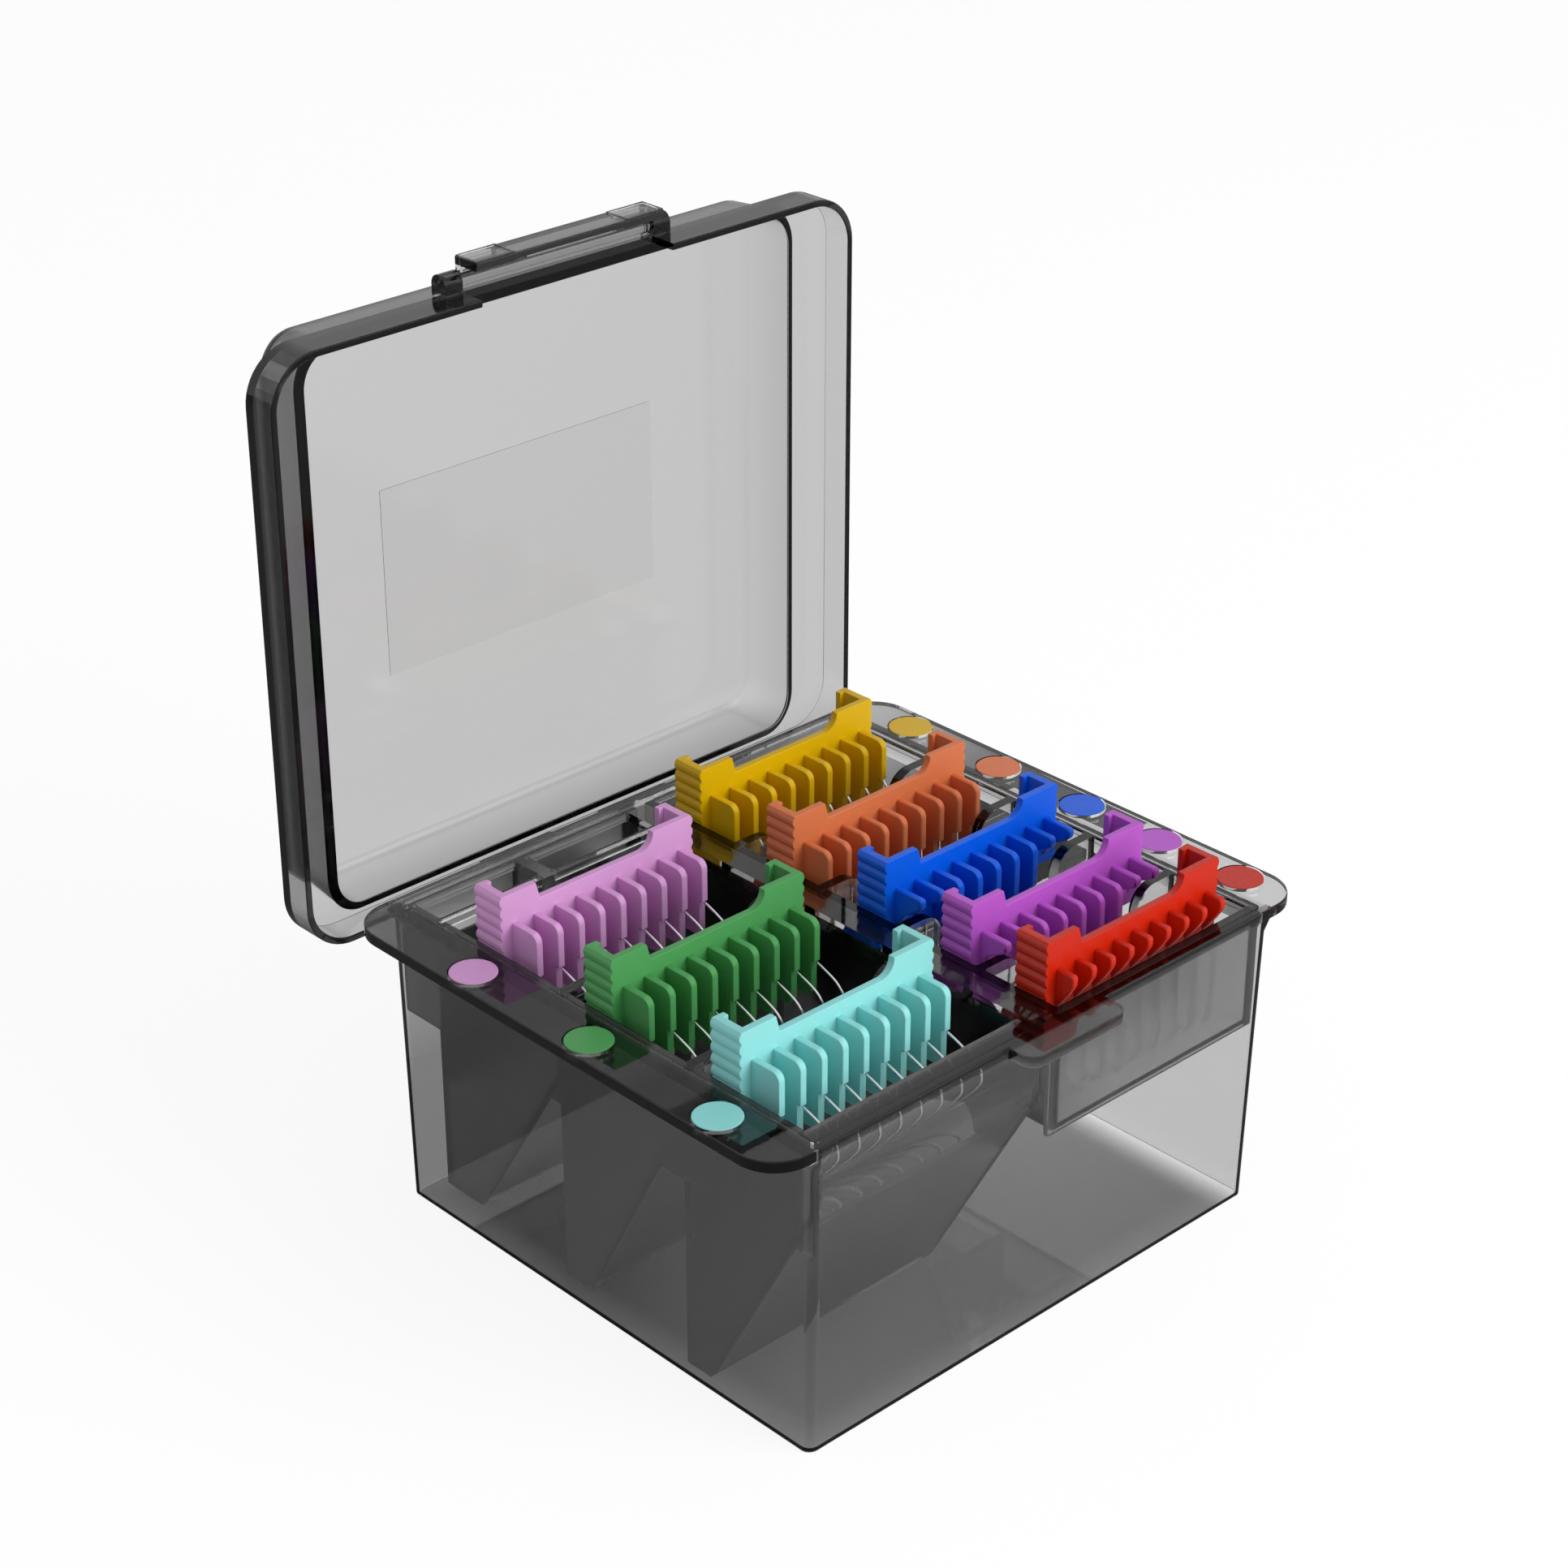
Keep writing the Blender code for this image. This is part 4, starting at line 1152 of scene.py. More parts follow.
    def build(self, look: bpy.types.Material) -> bpy.types.Object:
        """Models the lid, stands it open and dresses it.

        Args:
            look: the smoke plastic.

        Returns:
            The lid.
        """
        body = self.shell()
        Bench.combine(body, self.hinge_arms() + self.latch_bosses(), Join.ADD)
        ceiling = self.under + self.dish_depth + self.wall
        x, y = self.label_centre
        half_x, half_y = self.label_half
        label = Bench.block(
            "label", (x - half_x, y - half_y, ceiling - 0.5), (x + half_x, y + half_y, ceiling + self.label)
        )
        Bench.round_edges(label, 0.4, 4, upright)
        Bench.combine(body, [label], Join.ADD)
        front = -self.skirt_half[1]
        notch = Bench.block(
            "notch",
            (-self.gate, front - 1.0, self.foot - 1.0),
            (self.gate, front + self.wall + 0.3, self.under - 0.05),
        )
        tools = [notch, Bench.rod("bore", Axis.X, (0.0, *self.hinge), self.pin_r + 0.09, 140.0, 32)]
        for side in (-1, 1):
            middle = (side * (self.gate + 1.0), *self.latch_axis)
            tools.append(Bench.rod("hole", Axis.X, middle, 0.89, 4.0, 24))
        Bench.combine(body, tools, Join.CUT)
        Bench.turn_open(body, (0.0, *self.hinge), self.open_deg)
        Bench.finish(body, "lid_shell")
        dress(body, look, "lid", ["lid"])
        return body


@dataclass
class Latch:
    """The latch flap: barrel with stubs, plate, lip, hollow grips and a hooking bead."""

    axis: tuple = (-62.3, 67.2)
    half: float = 23.0
    barrel_r: float = 1.3
    thick: float = 1.4
    stub: tuple = (0.8, 26.0)
    lip: tuple = (66.7, 65.3, 61.6)
    grip: tuple = (67.0, 65.0, 13.6)
    hollow: float = 1.3
    window: tuple = (63.8, 64.9)
    bead: tuple = (11.0, 65.0, 62.7)
    hinge: tuple = (61.0, 52.5)
    open_deg: float = -90.0

    def build(self, look: bpy.types.Material) -> bpy.types.Object:
        """Models the latch, stands it open with the lid and dresses it.

        Args:
            look: the smoke plastic.

        Returns:
            The latch.
        """
        axis_y, axis_z = self.axis
        top = axis_z + self.thick / 2
        front, back, foot = self.lip
        flap = Bench.block("flap", (-self.half, -front, top - self.thick), (self.half, axis_y, top))
        lip = Bench.block("lip", (-self.half + 0.02, -front + 0.01, foot), (self.half - 0.02, -back, top - 0.01))
        Bench.round_edges(lip, 0.25, 2, lambda p, w: p.z < foot + 0.01)
        barrel = Bench.rod("barrel", Axis.X, (0.0, axis_y, axis_z), self.barrel_r, 2 * self.half - 0.04, 32)
        stubs = Bench.rod("stubs", Axis.X, (0.0, axis_y, axis_z), self.stub[0], 2 * self.stub[1], 24)
        parts = [lip, barrel, stubs]
        out, inner, start = self.grip
        for side in (-1, 1):
            low, high = sorted((side * start, side * (self.half - 0.06)))
            grip = Bench.block("grip", (low, -out, foot + 0.2), (high, -inner, top - 0.1))
            Bench.push(grip, 0.45, (0.0, self.hollow, 0.0), lambda p, n: n.y < -0.9)
            Bench.soften(grip, 0.12, 2, 40.0)
            parts.append(grip)
        bead = Bench.block("bead", (-self.bead[0], -back - 0.5, foot + 0.02), (self.bead[0], -self.bead[1], self.bead[2]))
        Bench.round_edges(bead, 0.2, 2, lambda p, w: p.y > -self.bead[1] - 0.01)
        Bench.combine(flap, parts + [bead], Join.ADD)
        near, far = self.window
        windows = [
            Bench.block("window", (side * middle - reach, -far, foot), (side * middle + reach, -near, top + 1.0))
            for side in (-1, 1)
            for middle, reach in [((start + self.half) / 2, (self.half - start) / 2 - 0.8)]
        ]
        Bench.combine(flap, windows, Join.CUT)
        Bench.turn_open(flap, (0.0, *self.hinge), self.open_deg)
        Bench.finish(flap, "latch_flap")
        dress(flap, look, "latch", ["latch"])
        return flap


@dataclass
class Insert:
    """The lift-out insert: deep wedge troughs on the left, shallow pockets on the right."""

    top: float = 65.5
    half: tuple = (58.1, 56.1)
    deck_half: tuple = (58.45, 56.75)
    lip: float = -52.7
    wall: float = 1.1
    deck: float = 2.0
    left: float = -57.0
    right: float = 56.4
    front: float = -55.0
    back: float = 55.0
    spine: tuple = (-3.5, 3.6)
    left_foot: float = 42.0
    front_foot: float = 57.4
    right_foot: float = 39.9
    troughs: tuple = (
        (44.8, 36.0, 8.0, 11.5, 48.0),
        (9.1, 4.0, 5.0, -22.7, 56.0),
        (-24.9, -29.5, 3.1, -55.0, 50.0),
    )
    pockets: tuple = (
        (55.0, 30.3, 41.3),
        (28.0, 6.7, 43.6),
        (4.4, -14.2, 41.3),
        (-16.4, -35.0, 41.3),
        (-37.0, -55.0, 41.3),
    )
    left_cut: tuple = (-47.0, -12.0, 50.0)
    right_cut: tuple = (13.8, 46.0, 46.0)
    cut_r: float = 5.0
    slot_far: float = 54.2
    cheek: tuple = (-31.0, 1.5)

    def wedge(self, name: str, x: Sequence[float], profile: Sequence[float], top: float) -> bpy.types.Object:
        """Models a trough's wedge: a block whose front is drawn out and lifted to a slope.

        Args:
            name: its name.
            x: its lowest and highest X.
            profile: back, floor front, floor height, front and knee height.
            top: its top.

        Returns:
            The wedge.
        """
        back, floor_front, floor, front, knee = profile
        body = Bench.block(name, (x[0], floor_front, floor), (x[1], back, top))
        Bench.push(body, 0.0, (0.0, front - floor_front, 0.0), lambda p, n: n.y < -0.9)
        Bench.shift(
            body, (0.0, 0.0, knee - floor), lambda p, n: p.z < floor + 0.1 and p.y < floor_front - 0.5
        )
        return body

    def finger_cut(self, span: Sequence[float], y: Sequence[float]) -> bpy.types.Object:
        """Models the tool for a U-shaped cut with rounded floor and shoulders.

        Args:
            span: lowest and highest X, and the floor.
            y: lowest and highest Y.

        Returns:
            The cutting tool.
        """
        low, high, floor = span
        radius = self.cut_r
        tool = Bench.block("cut", (low, y[0], floor), (high, y[1], self.top + 2.9))
        Bench.round_edges(tool, radius, 12, lambda p, w: p.z < floor + 0.01 and abs(w.y) > 0.9)
        shoulder = self.top - radius
        brow = Bench.block("brow", (low - radius, y[0], shoulder), (high + radius, y[1], self.top + 3.0))
        middle = (y[0] + y[1]) / 2
        rods = [
            Bench.rod("brow_rod", Axis.Y, (x, middle, shoulder), radius - 0.02, y[1] - y[0] + 2.0, 64)
            for x in (low - radius, high + radius)
        ]
        Bench.combine(brow, rods, Join.CUT)
        Bench.combine(tool, [brow], Join.ADD)
        return tool

    def shell_parts(self) -> list:
        """Models the skirts, trough shells and pocket shells under the deck.

        Returns:
            The solids to join to the deck.
        """
        half_x, half_y = self.half
        under = self.top - 0.5
        parts = [
            Bench.block("left", (-half_x + 0.01, -half_y + 0.01, self.left_foot), (self.left, half_y - 0.01, under)),
            Bench.block("front", (-half_x + 0.02, -half_y + 0.02, self.front_foot), (0.0, self.front, under)),
            Bench.block("back", (-half_x + 0.03, self.back, self.front_foot), (0.0, half_y - 0.03, under)),
            Bench.block(
                "fore", (0.5, -half_y + 0.04, self.right_foot), (half_x - 0.02, self.front, under + 0.1)
            ),
            Bench.block(
                "right", (self.right, -half_y + 0.05, self.right_foot), (half_x - 0.03, half_y - 0.05, under + 0.1)
            ),
            Bench.block(
                "cheek",
                (self.cheek[0] - self.cheek[1], self.troughs[0][0] + 0.5, self.front_foot + 1.0),
                (self.cheek[0] + self.cheek[1], half_y - 0.5, self.top - 0.3),
            ),
        ]
        for n, (back, floor_front, floor, front, knee) in enumerate(self.troughs):
            face = max(front - self.wall * 1.1, -half_y + 0.1)
            profile = (
                back + self.wall, floor_front - self.wall * 0.6, floor - self.wall, face, knee - self.wall * 0.6
            )
            x = (-half_x + 0.04 + 0.03 * n, self.spine[0] + self.wall + 0.03 * n)
            parts.append(self.wedge("trough", x, profile, self.top - 0.6))
        for n, (back, front, floor) in enumerate(self.pockets):
            skin = 0.03 * n
            low = (self.spine[1] - self.wall - skin, max(front - self.wall, -half_y + 0.2 + skin), floor - self.wall)
            high = (self.right + self.wall + skin, min(back + self.wall, half_y - 0.2 - skin), self.top - 0.6)
            parts.append(Bench.block("pocket", low, high))
        return parts

    def hollows(self) -> list:
        """Models the tools that hollow the troughs and pockets.

        Returns:
            The cutting tools.
        """
        tools = []
        for profile in self.troughs:
            tool = self.wedge("hollow", (self.left, self.spine[0]), profile, self.top + 3.0)
            tools.append(tool)
        for back, front, floor in self.pockets:
            tool = Bench.block("hollow", (self.spine[1], front, floor), (self.right, back, self.top + 3.0))
            Bench.round_edges(tool, 0.6, 3, upright)
            tools.append(tool)
        return tools

    def openings(self) -> list:
        """Models the tools for the finger cuts and the back slot.

        Returns:
            The cutting tools.
        """
        tools = []
        for n in range(len(self.troughs) - 1):
            y = (self.troughs[n + 1][0] - 1.0, self.troughs[n][3] + 1.0)
            tools.append(self.finger_cut(self.left_cut, y))
        for n in range(len(self.pockets) - 1):
            floor = max(self.right_cut[2], self.pockets[n + 1][2] + 1.0)
            y = (self.pockets[n + 1][0] - 1.0, self.pockets[n][1] + 1.0)
            tools.append(self.finger_cut((*self.right_cut[:2], floor), y))
        near = self.troughs[0][0] + self.wall + 0.6
        foot = self.top - self.deck - 1.0
        for low, high in (
            (self.left, self.cheek[0] - self.cheek[1]),
            (self.cheek[0] + self.cheek[1], self.spine[0]),
        ):
            slot = Bench.block("slot", (low, near, foot), (high, self.slot_far, self.top + 3.0))
            Bench.round_edges(slot, 0.5, 3, upright)
            tools.append(slot)
        return tools

    def build(self, look: bpy.types.Material) -> bpy.types.Object:
        """Models the insert and dresses it.

        Args:
            look: the smoke plastic.

        Returns:
            The insert.
        """
        half_x, half_y = self.deck_half
        body = Bench.block("insert", (-half_x, -half_y, self.top - self.deck), (half_x, half_y, self.top))
        Bench.round_edges(body, 1.0, 4, upright)
        Bench.combine(body, self.shell_parts(), Join.ADD)
        Bench.combine(body, self.hollows(), Join.CUT)
        Bench.combine(body, self.openings(), Join.CUT)
        lip = Bench.block(
            "lip",
            (self.left - 0.4, self.front - 0.4, self.top - self.deck + 0.1),
            (self.spine[0] + 0.4, self.lip, self.top - 0.03),
        )
        Bench.combine(body, [lip], Join.ADD)
        Bench.finish(body, "insert_tray")
        dress(body, look, "insert", [f"insert_{hue.value}" for hue in Hue])
        return body


@dataclass
class Comb:
    """One comb of the set: where it stands, and how its ribs and tines end."""

    hue: Hue
    place: tuple
    tip: tuple
    reach: float
    rib_reach: float = 7.0
    clear: float = 0.0
    short: tuple = ()

    @property
    def web(self) -> float:
        """Gives how far the web under a full rib reaches."""
        return min(6.1, self.reach - 0.95)


ENDS = (0, 1, 7, 8)


@dataclass
class CombSet:
    """The combs: one moulded frame with ears and ridged sides, nine ribs, and wire tines."""

    width: float = 47.7
    foot: float = 60.5
    edge: float = 73.6
    ear_top: float = 77.0
    left_ear: tuple = (8.7, 9.6)
    right_ear: float = 10.2
    ear_fillet: float = 3.2
    plate: float = 1.6
    depth: float = 7.6
    lip: tuple = (3.2, 1.4)
    ridges: int = 7
    ridge: float = 0.5
    ribs: int = 9
    rib_first: float = 3.4
    rib_t: float = 1.45
    rib_top: float = 70.8
    rib_foot: float = 62.2
    rib_r: float = 1.8
    rib_edge: float = 0.4
    horn: float = 2.1
    web_foot: float = 54.4
    wall_top: float = 65.5
    tine_r: float = 0.38
    wire_r: float = 0.27
    bar: tuple = (0.7, 3.4, 61.6, 2.4)
    combs: tuple = (
        Comb(Hue.PINK, (-56.7, 28.4), (-9.2, 9.4), 15.4),
        Comb(Hue.GREEN, (-56.7, -2.6), (-8.6, 6.4), 15.4),
        Comb(Hue.TEAL, (-56.7, -36.3), (-8.4, 4.6), 15.4),
        Comb(Hue.YELLOW, (3.9, 40.6), (-3.0, 42.6), 9.2),
        Comb(Hue.ORANGE, (3.9, 14.1), (-3.0, 44.9), 6.4),
        Comb(Hue.BLUE, (3.9, -10.9), (-3.0, 42.6), 7.2, 7.0, 3.3, ENDS),
        Comb(Hue.PURPLE, (3.9, -33.1), (-3.0, 42.6), 6.9, 6.7, 1.9, ENDS),
        Comb(Hue.RED, (3.9, -51.8), (-3.4, 42.6), 1.4, 4.3, 3.0, tuple(range(9))),
    )

    @property
    def rib_places(self) -> list:
        """Gives the X of each rib from the comb's left side."""
        pitch = (self.width - 2 * self.rib_first) / (self.ribs - 1)
        return [self.rib_first + n * pitch for n in range(self.ribs)]

    def plate_piece(self) -> bpy.types.Object:
        """Models the front plate with its two ears.

        Returns:
            The plate.
        """
        body = Bench.block("plate", (0.4, 0.0, self.foot), (self.width - 0.4, self.plate, self.ear_top))
        inner = self.width - self.right_ear
        top = self.ear_top + 2.0
        notch = Bench.block("notch", (self.left_ear[1], -1.0, self.edge), (inner, self.plate + 1.0, top))
        lean = (self.left_ear[0] - self.left_ear[1]) * (top - self.edge) / (self.ear_top - self.edge)
        Bench.shift(notch, (lean, 0.0, 0.0), lambda p, n: p.z > top - 0.1 and p.x < inner - 1.0)
        Bench.round_edges(
            notch, self.ear_fillet, 10, lambda p, w: p.z < self.edge + 0.01 and abs(w.y) > 0.9 and p.x > inner - 0.1
        )
        Bench.combine(body, [notch], Join.CUT)
        Bench.soften(body, 0.22, 2)
        return body

    def side_piece(self, mirrored: bool) -> bpy.types.Object:
        """Models one side wall: a block cut into levels whose outside is drawn in between the ridges.

        Args:
            mirrored: whether it is the right side.

        Returns:
            The side wall.
        """
        inner = self.plate + self.ridge
        low, high = (self.width - inner, self.width) if mirrored else (0.0, inner)
        body = Bench.block("side", (low, 0.05, self.foot + 0.02), (high, self.depth, self.ear_top - 0.02))
        levels = 3 * self.ridges
        with Bench.editing(body, Pick.EDGE):
            Bench.choose(body, Pick.EDGE, upright)
            bpy.ops.mesh.subdivide(number_cuts=levels - 1)
        rise = (self.ear_top - self.foot - 0.04) / levels
        outside = self.width if mirrored else 0.0

        def valley(place: Vector, normal: Vector) -> bool:
            """Passes the outside points between two ridges."""
            level = round((place.z - self.foot - 0.02) / rise)
            return abs(place.x - outside) < 0.1 and level % 3 == 0

        Bench.shift(body, (-self.ridge if mirrored else self.ridge, 0.0, 0.0), valley)
        Bench.soften(body, 0.16, 2, 20.0)
        return body

    def lip_piece(self, mirrored: bool) -> bpy.types.Object:
        """Models the return lip at the back of one side.

        Args:
            mirrored: whether it is the right side.

        Returns:
            The lip.
        """
        wide, thick = self.lip
        low, high = self.ridge + 0.2, wide
        if mirrored:
            low, high = self.width - high, self.width - low
        body = Bench.block(
            "lip", (low, self.depth - thick, self.foot + 0.04), (high, self.depth - 0.02, self.ear_top - 0.04)
        )
        Bench.soften(body, 0.2, 2)
        return body

    def full_rib(self, reach: float, web: float) -> bpy.types.Object:
        """Models a full rib: a fin with a rounded nose over a set-back web.

        Args:
            reach: how far the fin stands ahead of the plate.
            web: how far the web does.

        Returns:
            The rib, centred on X zero.
        """
        half = self.rib_t / 2
        fin = Bench.block("rib", (-half, -reach, self.rib_foot), (half, 0.6, self.rib_top))
        across = lambda p, w: abs(w.x) > 0.9
        Bench.round_edges(
            fin, self.rib_r, 8, lambda p, w: across(p, w) and p.y < -reach + 0.01 and p.z > self.rib_top - 0.01
        )
        Bench.slice(fin, (0.0, -web, 0.0), (0.0, 1.0, 0.0))
        Bench.push(
            fin, 0.0, (0.0, 0.0, self.web_foot - self.rib_foot), lambda p, n: n.z < -0.9 and p.y > -web
        )
        Bench.round_edges(fin, 1.4, 5, lambda p, w: across(p, w) and p.y < -0.5 and p.z < self.web_foot + 0.01)
        Bench.round_sharp(fin, self.rib_edge, 3, lambda p, w: p.z > self.rib_foot + 0.1)
        return fin

    def short_rib(self, reach: float, clear: float) -> bpy.types.Object:
        """Models a rib that is cut away below to stand over a wall.

        Args:
            reach: how far the rib stands ahead of the plate.
            clear: how far ahead of the plate the wall starts.

        Returns:
            The rib, centred on X zero.
        """
        half = self.rib_t / 2
        foot, over = self.foot + 1.2, self.wall_top + 0.5
        rib = Bench.block("rib", (-half, -reach, foot), (half, 0.6, self.rib_top))
        knee = max(clear - 0.4, 0.6)
        Bench.slice(rib, (0.0, -knee, 0.0), (0.0, 1.0, 0.0))
        low = lambda p: p.z < foot + 0.1
        Bench.shift(
            rib, (0.0, 0.0, self.rib_top - self.horn - foot), lambda p, n: low(p) and p.y < -reach + 0.1
        )
        Bench.shift(rib, (0.0, 0.0, over - foot), lambda p, n: low(p) and abs(p.y + knee) < 0.1)
        Bench.round_edges(rib, 0.8, 6, lambda p, w: p.y < -reach + 0.01 and abs(w.x) > 0.9)
        Bench.soften(rib, self.rib_edge, 3, 40.0)
        return rib

    def tine_path(self, comb: Comb, short: bool) -> list:
        """Lays out one bent wire, from its free end at the rib to the bar behind the plate.

        Args:
            comb: the comb it belongs to.
            short: whether its rib is cut away below.

        Returns:
            Points as distance ahead of the plate and height.
        """
        ahead_tip, tip = comb.tip
        end = (-self.bar[1], self.bar[2])
        if short:
            ahead = min(comb.clear - self.tine_r - 0.5, comb.reach)
            path = [(ahead, self.foot - 0.4), (ahead, tip + 3.2), (ahead - 0.6, tip + 1.2)]
            path += [((ahead + ahead_tip) / 2 - 0.6, tip), (ahead_tip - 0.2, tip + 1.2), (-self.bar[1], tip + 3.4)]
            return path + [end]
        start = (comb.web + self.tine_r + 0.35, self.rib_foot - 0.4)
        spread = comb.reach - start[0]
        path = [start, (start[0] + spread * 0.35, start[1] - 0.75 - spread * 0.02)]
        path += [(start[0] + spread * 0.72, start[1] - 2.4), (start[0] + spread * 0.94, start[1] - 5.4)]
        if spread > 4:
            path += [(comb.reach, start[1] - 9.0)]
        path += [(ahead_tip + 2.6, tip + 3.0), (ahead_tip + 1.2, tip + 0.7), (ahead_tip, tip)]
        path += [(ahead_tip - 0.9, tip + 1.1), (ahead_tip - 0.6, tip + 4.5)]
        return path + [end]

    def wire(self, path: Sequence[tuple]) -> bpy.types.Object:
        """Draws a round wire along a path as a curve and makes it a mesh.

        Args:
            path: points as distance ahead of the plate and height.

        Returns:
            The wire, in the plane at X zero.
        """
        Bench.clear()
        bpy.ops.curve.primitive_nurbs_path_add(location=(0.0, 0.0, 0.0))
        curve = bpy.context.object
        spline = curve.data.splines[0]
        spline.points.add(len(path) - len(spline.points))
        for point, (ahead, height) in zip(spline.points, path):
            point.co = (0.0, -ahead * MM, height * MM, 1.0)
        spline.order_u = 3
        spline.use_endpoint_u = True
        spline.resolution_u = 5
        curve.data.bevel_depth = self.wire_r * MM
        curve.data.bevel_resolution = 3
        curve.data.use_fill_caps = True
        bpy.ops.object.convert(target="MESH")
        return bpy.context.object

    def build_frame(self) -> bpy.types.Object:
        """Models the plate, sides and lips that all the combs share.

        Returns:
            The frame, at X and Y zero.
        """
        parts = [self.plate_piece()]
        for mirrored in (False, True):
            parts += [self.side_piece(mirrored), self.lip_piece(mirrored)]
        return Bench.weld("comb_frame", parts)

    def build_comb(self, comb: Comb, pattern: bpy.types.Object, look: bpy.types.Material) -> None:
        """Copies the shared frame, adds this comb's ribs and dresses it.

        Args:
            comb: the comb to build.
            pattern: the shared frame.
            look: the comb's colour finish.
        """
        x, y = comb.place
        parts = [Bench.copy(pattern, (x, y, 0.0))]
        full = self.full_rib(comb.rib_reach, comb.web)
        short = self.short_rib(comb.rib_reach, comb.clear)
        for n, along in enumerate(self.rib_places):
            parts.append(Bench.copy(short if n in comb.short else full, (x + along, y, 0.0)))
        Bench.drop(full)
        Bench.drop(short)
        body = Bench.weld("comb", parts)
        name = comb.hue.value
        Bench.finish(body, f"comb_{name}_body", 40.0)
        dress(body, look, f"comb_{name}", [f"comb_{name}"])

    def build_tines(self, comb: Comb, look: bpy.types.Material) -> None:
        """Draws this comb's wires and the bar that carries them, and dresses them.

        Args:
            comb: the comb to build.
            look: the bright steel.
        """
        x, y = comb.place
        radius, bar_y, bar_z, end = self.bar
        middle = (x + self.width / 2, y + bar_y, bar_z)
        bar = Bench.rod("bar", Axis.X, middle, radius, self.width - 2 * end, 24)
        Bench.round_edges(bar, 0.3, 3, lambda p, w: abs(abs(p.x - middle[0]) - self.width / 2 + end) < 0.01)
        parts = [bar]
        wires = {kind: self.wire(self.tine_path(comb, kind)) for kind in {n in comb.short for n in range(self.ribs)}}
        for n, along in enumerate(self.rib_places):
            parts.append(Bench.copy(wires[n in comb.short], (x + along, y, 0.0)))
        for wire in wires.values():
            Bench.drop(wire)
        body = Bench.weld("tines", parts)
        name = comb.hue.value
        Bench.finish(body, f"tines_{name}_wires", 50.0)
        dress(body, look, f"comb_{name}", [f"tines_{name}"])

    def build(self, looks: dict, steel: bpy.types.Material) -> None:
        """Builds every comb of the set.

        Args:
            looks: the colour finish of each hue.
            steel: the wires' finish.
        """
        pattern = self.build_frame()
        for comb in self.combs:
            self.build_comb(comb, pattern, looks[comb.hue])
            self.build_tines(comb, steel)
        Bench.drop(pattern)


